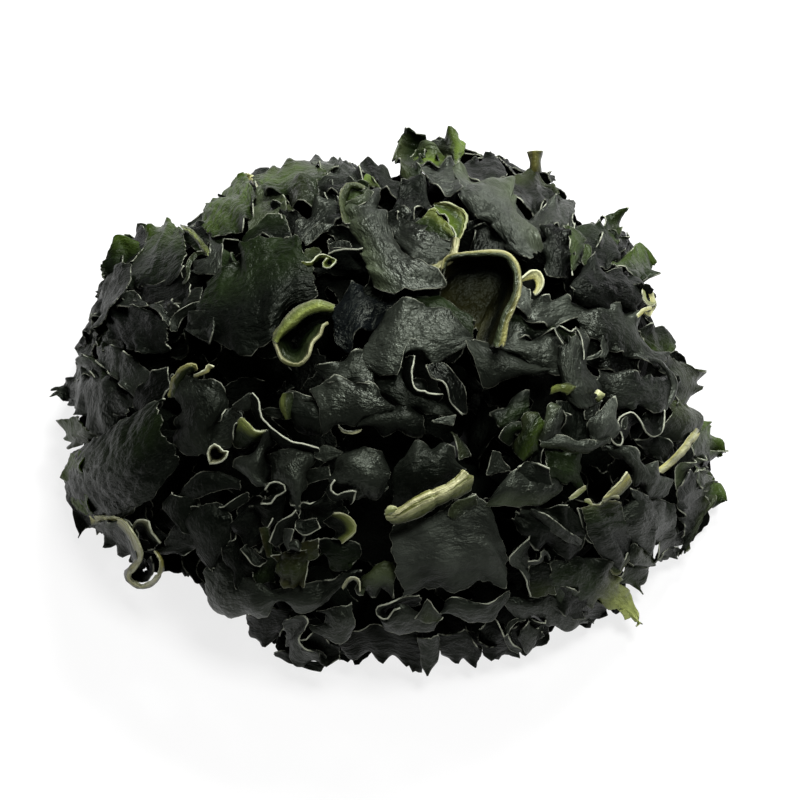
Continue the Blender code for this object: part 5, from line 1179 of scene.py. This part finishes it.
grey("cluster_d", "ash slate sage", "498,488,9 508,474,10 520,470,10 534,478,9 556,476,8 562,484,8",
    "492,498,9 506,490,11 520,490,11 538,492,11 552,490,10 562,488,9",
    "482,507,8 500,505,9 515,508,10 530,505,10 546,500,9 560,494,9", rib=(1, 0.4, 0.4), crumple=0.3)
dark("cluster_e", "grey dark", "520,468,10 530,466,10 545,470,10", "522,484,10 535,488,10 548,486,10")
grey("cluster_f", "grey slate", "492,450,8 489,462,8 486,476,8", "500,452,8 504,462,8 512,469,8")
dark("dark_folds_a", "grey dark black", "522,506,8 540,508,9 560,510,9 576,514,8",
    "522,516,9 540,524,10 560,530,10 582,536,9", "514,520,8 530,534,9 550,548,9 575,556,8", sway=1.2,
    crumple=0.6)
grey("dark_folds_b", "slate dark", "532,508,11 546,516,12 562,526,12 582,540,10",
    "529,513,10 543,524,10 558,536,10 580,547,9", sway=0.8)
dark("dark_folds_c", "leaf dark", "544,520,9 556,528,9 570,538,8", "552,518,8 562,524,8 574,530,8")
grey("mauve_curl", "ash slate slate",
    "514,512,8 523,520,9 529,536,10 518,548,10 509,560,10 522,572,10 529,597,9",
    "518,514,7 528,524,8 530,538,9 524,549,9 518,560,9 527,572,9 534,594,8",
    "524,516,6 532,527,6 531,540,7 527,550,7 528,560,7 530,572,7 540,592,7", rib=(-1, 0.35, 0.4), corner=0)
midrib("mauve_edge", "slate grey", "527,561,10 534,561,11 540,559,11 541,552,11 546,551,11 550,558,10",
    "528,564,9 535,564,9 542,561,9 544,555,9 547,555,9 549,561,9", torn=0, frill=0, sway=0)
dark("mauve_body", "black grey moss", "528,566,8 540,562,8 552,565,8", "529,580,9 541,578,9 553,580,9",
    "530,597,9 541,596,10 556,594,9", rib=(1, 0.35, 0.4))
# Its spring tip is partly painted light: back light shining through the thin tip.
green("green_tip", "grey leaf leaf",
    "552,566,8 570,560,9 590,560,9 606,568,9 616,580,9 628,598,8 638,622,7",
    "552,580,9 566,578,10 582,579,11 598,585,11 610,594,10 622,606,8 636,622,7",
    "554,595,8 566,598,8 580,600,8 594,601,8 606,603,8 620,613,7 634,623,6", tip="spring", crumple=0.35,
    corner=0)
# Spring green, partly painted light: back light through the thin tip.
green("tip_fray", "spring", "618,612,7 622,617,7 624,622,6", "624,612,7 628,616,7 630,620,6", corner=0)
dark("tip_low", "grey dark dark", "553,590,9 560,604,9 572,614,9 580,614,8",
    "562,588,9 570,598,9 578,604,8 582,608,8", "572,586,9 580,594,8 584,600,8 586,604,8", crumple=0.4)
green("tip_shadow", "dark deep", "580,600,7 592,602,6 604,605,5", "582,618,6 590,622,5 603,615,5")
grey("low_right", "dark grey slate", "505,596,7 530,600,8 552,598,8 568,612,8 588,615,7",
    "508,604,8 530,608,9 550,610,9 568,619,9 587,622,8",
    "512,612,7 530,618,7 550,622,8 568,627,8 586,626,7", frill=0.4)
tell("the right flank")

# %% [markdown]
# ## The leaves under and behind them
# Between the leaves on top the eye falls on more leaves, deeper and darker, and on the shadows among them.
# None of them may show past the heap, so each is tested against the outline on the drawing paper. One that
# fails sinks deeper, step by step, and is left out if that doesn't help.

# %% Staying inside
SIDE_REACH, BACK_REACH = 80.5, 78.5  # mm, the farthest that a leaf may reach
STEADY = 0.4  # the share of its lean that a leaf keeps when its way is given
SEEN_OUTLINE = numbers(
    "58,390 66,366 84,330 95,300 100,262 112,238 148,226 185,226 205,210 244,174 290,161 345,160 "
    "396,182 402,134 460,134 500,156 528,153 546,160 570,200 578,226 608,214 626,236 644,244 652,262 "
    "655,306 646,316 668,334 695,370 694,430 720,440 722,494 706,528 684,556 646,566 640,620 590,626 "
    "545,640 520,655 478,660 430,674 325,672 272,655 250,636 236,615 205,594 160,575 140,588 118,545 "
    "80,534 66,480 74,450"
)
INSIDE = 0.985  # the share of a leaf's points that has to show inside it
SINK_STEPS = (0, 2, 4, 7, 11)  # mm


def inside_outline(points):
    """Whether the points show inside SEEN_OUTLINE: a ray to the right crosses it an odd number of times."""
    sight = points - VIEWPOINT
    scale = -VIEW_DISTANCE / (sight @ TOWARD)
    x = (VIEW_CENTRE[0] + sight @ RIGHT * scale) / SQUARE + PAPER_MIDDLE[0]
    y = PAPER_MIDDLE[1] - (VIEW_CENTRE[1] + sight @ UPWARD * scale) / SQUARE
    crossings = np.zeros(len(points), int)
    for (x1, y1), (x2, y2) in zip(SEEN_OUTLINE, SEEN_OUTLINE[1:] + SEEN_OUTLINE[:1]):
        crossings += ((y1 > y) != (y2 > y)) & (x < x1 + (y - y1) / (y2 - y1 + TINY) * (x2 - x1))
    return (crossings % 2).mean() > INSIDE


def spread_leaf(into, name, point, normal, length, width, form, outline, tone, cell, draw, way=None):
    """A leaf laid anyhow at a point, sunk deeper until it shows inside the outline, or left out."""
    drawn_way, pitch, yaw = draw.normal(size=3), draw.normal(0, 26), draw.normal(0, 30)
    if way is None:
        way = drawn_way
    else:
        pitch, yaw = pitch * STEADY, yaw * STEADY
    for sunk in SINK_STEPS:
        place = laid(point - normal * sunk, normal, way, pitch, yaw)
        made = leaf_shape(name, length, width, FORMS[form], OUTLINES[outline], tone, place, cell)
        within = np.abs(made[0][:, 0]).max() < SIDE_REACH and made[0][:, 1].max() < BACK_REACH
        if within and inside_outline(made[0]):
            kind(into).add(*made)
            return


def on_dome(bearing, height):
    """The mound's point in the direction bearing, at a share of its height."""
    reach = np.sqrt(1 - height ** SHOULDER)
    return np.array([np.cos(bearing) * reach, np.sin(bearing) * reach, height]) * MOUND


print("the outline has", len(SEEN_OUTLINE), "corners")

# %% [markdown]
# ## Spreading them
# These leaves need no places of their own: the golden angle spreads them evenly over the mound, and a
# seeded draw gives each its depth, size, form and lean. On the back, where nothing lies over them, they
# come up to the surface. The hidden ones get near-black tones and a dull finish, painted shade for the
# shadow among the leaves on top.

# %% Under leaves and back leaves
UNDER_COUNT, GOLDEN_ANGLE = 340, np.radians(137.508)
SHADE_TONES, BACK_TONES = ("deep", "black", "deep", "dark"), ("dark", "grey", "slate", "leaf")
draw = np.random.default_rng(5)
for k in range(UNDER_COUNT):
    point = on_dome(k * GOLDEN_ANGLE, ((k + 0.5) / UNDER_COUNT) ** 0.9)
    normal = mound_normal(point)
    length = draw.uniform(13, 30)
    hidden = normal @ TOWARD > -0.05
    # hidden leaves take near-black tones: painted shade under the leaves on top
    tone = (SHADE_TONES if hidden else BACK_TONES)[draw.integers(4)]
    depth = draw.uniform(5, 14) if hidden else draw.uniform(-6, 2)
    width = length * draw.uniform(0.4, 0.85)
    form, outline = list(FORMS)[draw.integers(len(FORMS))], list(OUTLINES)[draw.integers(len(OUTLINES))]
    into, cell = ("under_leaves_" + "abc"[k % 3], 1.15) if hidden else ("back_leaves", 0.9)
    point = point - normal * depth
    spread_leaf(into, f"under_{k}", point, normal, length, width, form, outline, tone, cell, draw)
tell("the spread under the others")

# %% [markdown]
# ## The foot and the back
# Where the heap meets the table its leaves lean outwards all round, so the foot gets a ring of them, in
# near-black tones and a dull finish that are partly the leaves' own dark and partly painted shade. On the
# back the crown overhangs, and leaves that point down hang from it like a skirt.

# %% Foot and skirt
FOOT_COUNT, SKIRT_COUNT = 60, 60
DOWN = np.array([0.0, 0.0, -1.0])
# The foot leaves get deep, black and dark tones: partly painted shade where the heap meets the floor.
for k in range(FOOT_COUNT):
    bearing = 2 * np.pi * (k + draw.uniform(-0.4, 0.4)) / FOOT_COUNT
    out = np.array([np.cos(bearing), np.sin(bearing), 0.0])
    point = out * MOUND * [1, 1, 0] * draw.uniform(0.86, 0.98) + [0, 0, draw.uniform(2, 9)]
    length = draw.uniform(14, 24)
    spread_leaf("under_leaves_d", f"foot_{k}", point, out + [0, 0, draw.uniform(0.5, 2.0)], length,
                length * draw.uniform(0.5, 0.8), "sheet", "round",
                ("deep", "black", "dark")[k % 3], 1.1, draw)
for k in range(SKIRT_COUNT):
    point = on_dome(np.pi * (k + 0.5) / SKIRT_COUNT, draw.uniform(0.28, 0.62))
    normal, length = mound_normal(point), draw.uniform(20, 30)
    spread_leaf("back_leaves", f"skirt_{k}", point + normal * draw.uniform(4, 8), normal, length,
                length * draw.uniform(0.5, 0.8), ("sheet", "broad", "ruffle")[k % 3], "round",
                ("dark", "slate", "leaf", "grey")[k % 4], 0.9, draw, way=DOWN)
tell("the foot and the skirt")

# %% [markdown]
# ## Shader maths as expressions
# Blender's materials are networks of nodes. Wiring them by hand is slow to read, so a socket is wrapped in
# a small class whose +, - and * add the Math node that does the sum.

# %% Sockets and nodes


class Wire:
    """A node's output that can be used in arithmetic."""

    def __init__(self, finish, socket):
        self.finish, self.socket = finish, socket

    def maths(self, operation, first, second):
        return self.finish.node("ShaderNodeMath", {"operation": operation}, {0: first, 1: second})

    def __add__(self, other):
        return self.maths("ADD", self, other)

    def __rsub__(self, other):
        return self.maths("SUBTRACT", other, self)

    def __mul__(self, other):
        return self.maths("MULTIPLY", self, other)

    def __pow__(self, other):
        return self.maths("POWER", self, other)

    __radd__, __rmul__ = __add__, __mul__


class Finish:
    """A material whose nodes all come from one method."""

    def __init__(self, name, roughness):
        self.material = bpy.data.materials.new(name)
        self.material.use_nodes = True
        self.tree = self.material.node_tree
        self.shader = self.tree.nodes["Principled BSDF"]
        self.shader.inputs["Roughness"].default_value = roughness

    def node(self, kind, settings, sockets=None, output=0):
        """Add a node, give it its settings, then its socket values or links, and wrap one output."""
        made = self.tree.nodes.new(kind)
        for name, value in settings.items():
            setattr(made, name, value)
        for name, value in (sockets or {}).items():
            self.put(made.inputs[name], value)
        return Wire(self, made.outputs[output])

    def put(self, socket, value):
        """Link a wire to a socket, or write a plain value there."""
        if isinstance(value, Wire):
            self.tree.links.new(value.socket, socket)
        else:
            socket.default_value = value

    def mix(self, factor, first, second):
        """A colour between two, by a factor; 6 and 7 are the node's colours, and 2 is its result."""
        return self.node("ShaderNodeMix", {"data_type": "RGBA"}, {0: factor, 6: first, 7: second}, 2)

# %% [markdown]
# ## The finish of a dried leaf
# A dry leaf is satin, not glossy: fine wrinkles run along it and break up the light. Its colour comes from
# the vertices, made uneven by noise that is stretched along the leaf. Midribs are straw-coloured and
# striped, and the torn edge is a thin, lighter line, clearer in some places than in others: a painted
# highlight for the light that the thin edge catches.

# %% Leaf material


def noise(finish, along, across, detail=3.0):
    """Noise in the leaf's own flat coordinates, scaled along it and across it."""
    flat = finish.node("ShaderNodeUVMap", {"uv_map": "grain"})
    scaled = finish.node("ShaderNodeMapping", {}, {"Vector": flat, "Scale": (along, across, 1.0)})
    settled = {"Vector": scaled, "Scale": 1.0, "Detail": detail, "Roughness": 0.6}
    return finish.node("ShaderNodeTexNoise", {}, settled)


def ramp(finish, value, low, high):
    """0 below low, 1 above high, straight between."""
    return finish.node("ShaderNodeMapRange", {}, {"Value": value, "From Min": low, "From Max": high})


OLIVE_STRAND, STRAW_STRAND = (0.080, 0.086, 0.024, 1), (0.42, 0.41, 0.24, 1)
# The pale edge colour is a painted highlight: the light that the thin torn edge catches.
EDGE_HIGHLIGHT, GREEN_SHINE = (0.38, 0.40, 0.31, 1), (0.88, 1.0, 0.78, 1)
RELIEF = 0.0012  # m, the height of the finest relief


def leaf_finish(name, sheen, rough, edge_highlight_share):
    """A dried leaf: its tint made uneven by noise, striped midribs, a pale torn edge painted as a highlight,
    and fine wrinkles.
    """
    finish = Finish(name, rough)
    tint = finish.node("ShaderNodeAttribute", {"attribute_name": "tint"})
    marks = finish.node("ShaderNodeAttribute", {"attribute_name": "marks"})
    parts = finish.node("ShaderNodeSeparateColor", {}, {0: marks}).socket.node.outputs
    midrib, edge, whole = (Wire(finish, parts[k]) for k in range(3))
    fibre, blotch, wrinkle = noise(finish, 12.0, 24.0), noise(finish, 4.0, 5.0), noise(finish, 15.0, 32.0)
    pebble, strand = noise(finish, 36.0, 46.0, 2.0), noise(finish, 5.0, 90.0, 1.0)
    patch = ramp(finish, blotch, 0.32, 0.68)
    uneven = 0.30 + 0.35 * fibre + 0.95 * patch
    leaf_colour = finish.node("ShaderNodeVectorMath", {"operation": "SCALE"}, {0: tint, "Scale": uneven})
    stripes = finish.mix(ramp(finish, strand, 0.36, 0.64), OLIVE_STRAND, STRAW_STRAND)
    # painted highlight: a pale line along the torn edge where it catches the light
    painted_edge_highlight = ramp(finish, wrinkle + 0.3 * whole, 0.48, 0.66) * edge ** 8.0 * (1 - midrib)
    body = finish.mix(midrib * 0.8, leaf_colour, stripes)
    colour = finish.mix(painted_edge_highlight * edge_highlight_share, body, EDGE_HIGHLIGHT)
    finish.put(finish.shader.inputs["Base Color"], colour)
    finish.put(finish.shader.inputs["Roughness"], rough - 0.10 + 0.26 * patch)
    height = 0.55 * wrinkle + 0.3 * fibre + 0.6 * blotch + 0.34 * pebble + 0.6 * strand * midrib
    bump = finish.node("ShaderNodeBump", {}, {"Height": height, "Strength": 1.0, "Distance": RELIEF})
    finish.put(finish.shader.inputs["Normal"], bump)
    finish.shader.inputs["Specular IOR Level"].default_value = sheen
    finish.shader.inputs["Specular Tint"].default_value = GREEN_SHINE
    return finish.material


# The dark and the grey leaves are shaded and lit copies of one finish; the lower sheen of the dark one is
# painted shade.
FINISHES = {  # sheen, roughness, how strongly the painted edge highlight shows
    "dark_leaves": (0.07, 0.40, 0.7),
    "grey_leaves": (0.18, 0.40, 0.7),
    "green_leaves": (0.11, 0.38, 0.7),
    "midribs": (0.20, 0.36, 0.7),
    "back_leaves": (0.13, 0.38, 0.5),
}
finishes = {name: leaf_finish(name.replace("leaves", "wakame"), *values) for name, values in FINISHES.items()}
shaded = leaf_finish("shaded_wakame", 0.04, 0.60, 0.25)
pieces = [k.make(finishes.get(name, shaded)) for name, k in kinds.items()]

# %% [markdown]
# ## The core
# Deep in the heap the leaves pack together. The core stands for them: a dome with leafy ridges, so dark
# that it only shows as shadow. Its grid is closed by a point at the top and one in the middle of its base.

# %% Core
CORE_SHARE = 0.78  # of the mound
AROUND, RISING = 180, 60  # how many points go round and up it
DEEP_SHADOW, LEAF_SHADOW = (0.0012, 0.0015, 0.0012, 1), (0.006, 0.007, 0.006, 1)


def core_surface(bearing, rise, draw):
    """MOUND · CORE_SHARE · (cos b · cos r, sin b · cos r, sin(r)^(2/SHOULDER)), with ridges of |sine|."""
    x, y, z = np.cos(bearing) * np.cos(rise), np.sin(bearing) * np.cos(rise), np.sin(rise)
    ridges = np.zeros_like(x)
    for _ in range(7):
        way = draw.normal(size=3) * 9
        ridges += 1 - np.abs(np.sin(x * way[0] + y * way[1] + z * way[2] + draw.uniform(0, TURN)))
    dome = np.stack([x, y, np.clip(z, 0, 1) ** (2 / SHOULDER)], axis=-1) * MOUND * CORE_SHARE
    return dome * (1 + 0.02 * (ridges - ridges.mean()))[..., None]


bearings, rises = np.linspace(0, 2 * np.pi, AROUND, endpoint=False), np.linspace(0, np.pi / 2, RISING)
dome = core_surface(*np.meshgrid(bearings, rises, indexing="ij"), np.random.default_rng(8))
dome[:, 0, 2] = FLOOR_GAP
index = np.arange(AROUND * (RISING - 1)).reshape(AROUND, RISING - 1)
after = np.roll(index, -1, axis=0)
sides = np.stack([index[:, :-1], after[:, :-1], after[:, 1:], index[:, 1:]], axis=-1).reshape(-1, 4).tolist()
crown = AROUND * (RISING - 1)
caps = [[int(a), int(b), crown] for a, b in zip(index[:, -1], after[:, -1])]
caps += [[int(b), int(a), crown + 1] for a, b in zip(index[:, 0], after[:, 0])]
points = np.vstack([dome[:, :-1].reshape(-1, 3), dome[:, -1].mean(axis=0), [0, 0, FLOOR_GAP]])
core_mesh = bpy.data.meshes.new("core")
core_mesh.from_pydata((points * MM).tolist(), [], sides + caps)
core_mesh.shade_smooth()
core = bpy.data.objects.new("core", core_mesh)
bpy.context.scene.collection.objects.link(core)
core_finish = Finish("packed_leaves", 0.8)
OBJECT_OUTPUT = 3  # the Object coordinates among the outputs of that node
place = core_finish.node("ShaderNodeTexCoord", {}, {}, OBJECT_OUTPUT)
fibre = core_finish.node("ShaderNodeTexNoise", {}, {"Vector": place, "Scale": 160.0, "Detail": 4.0})
core_finish.put(core_finish.shader.inputs["Base Color"], core_finish.mix(fibre, DEEP_SHADOW, LEAF_SHADOW))
core_mesh.materials.append(core_finish.material)
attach(core, "root")
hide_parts("wakame_heap")
print("the core is", (points.max(axis=0) - points.min(axis=0)).round(1), "mm")

# %% [markdown]
# ## The floor
# The heap stands on a plain pale floor. It glows a little of its own, so that it stays pale under lamps
# that are dim enough for dark leaves.

# %% Floor
FLOOR_HALF = 3  # m
floor_corners = [(x * FLOOR_HALF, y * FLOOR_HALF, 0) for x, y in ((-1, -1), (1, -1), (1, 1), (-1, 1))]
floor_mesh = bpy.data.meshes.new("floor")
floor_mesh.from_pydata(floor_corners, [], [(0, 1, 2, 3)])
floor = bpy.data.objects.new("floor", floor_mesh)
bpy.context.scene.collection.objects.link(floor)
floor_finish = Finish("pale_floor", 0.9)
floor_finish.shader.inputs["Base Color"].default_value = (0.20, 0.20, 0.20, 1)
floor_finish.shader.inputs["Specular IOR Level"].default_value = 0.0
floor_finish.shader.inputs["Emission Color"].default_value = (1, 1, 1, 1)
floor_finish.shader.inputs["Emission Strength"].default_value = 0.80
floor_mesh.materials.append(floor_finish.material)
print("the floor is", 2 * FLOOR_HALF, "m wide")

# %% [markdown]
# ## Light
# Soft light shows dark leaves best when the main lamp stands behind the heap: it skims over the leaves, so
# that their upper sides shine grey while the sides towards the viewer stay nearly black.

# %% Light
world = bpy.data.worlds.new("studio")
bpy.context.scene.world = world
world.use_nodes = True
world.node_tree.nodes["Background"].inputs["Color"].default_value = (1, 1, 1, 1)
world.node_tree.nodes["Background"].inputs["Strength"].default_value = 0.030


def lamp(name, place, power, size):
    """A square lamp in metres and watts that points at the heap."""
    light = bpy.data.lights.new(name, "AREA")
    light.energy, light.size = power, size
    holder = bpy.data.objects.new(name, light)
    holder.location = place
    holder.rotation_euler = (Vector((0, 0, 0.03)) - holder.location).to_track_quat("-Z", "Y").to_euler()
    bpy.context.scene.collection.objects.link(holder)


lamp("back_lamp", (0.16, 0.36, 0.46), 6.8, 0.18)
lamp("left_lamp", (-0.45, 0.15, 0.45), 0.4, 0.25)
lamp("top_lamp", (0.16, -0.08, 0.62), 3.5, 0.20)
print(len(bpy.data.lights), "lamps")

# %% [markdown]
# ## The camera
# The camera stands at the viewpoint that the leaves were laid out from, so they are seen as they were
# drawn.

# %% Camera
camera = bpy.data.cameras.new("camera")
camera.sensor_width, camera.lens = 36.0, 84.9
viewer = bpy.data.objects.new("camera", camera)
viewer.location = VIEWPOINT * MM
viewer.rotation_euler = Vector(-TOWARD).to_track_quat("-Z", "Y").to_euler()
bpy.context.scene.collection.objects.link(viewer)
bpy.context.scene.camera = viewer
bpy.context.scene.view_settings.view_transform = "Standard"
print("the camera stands at", (VIEWPOINT * MM).round(3), "m")
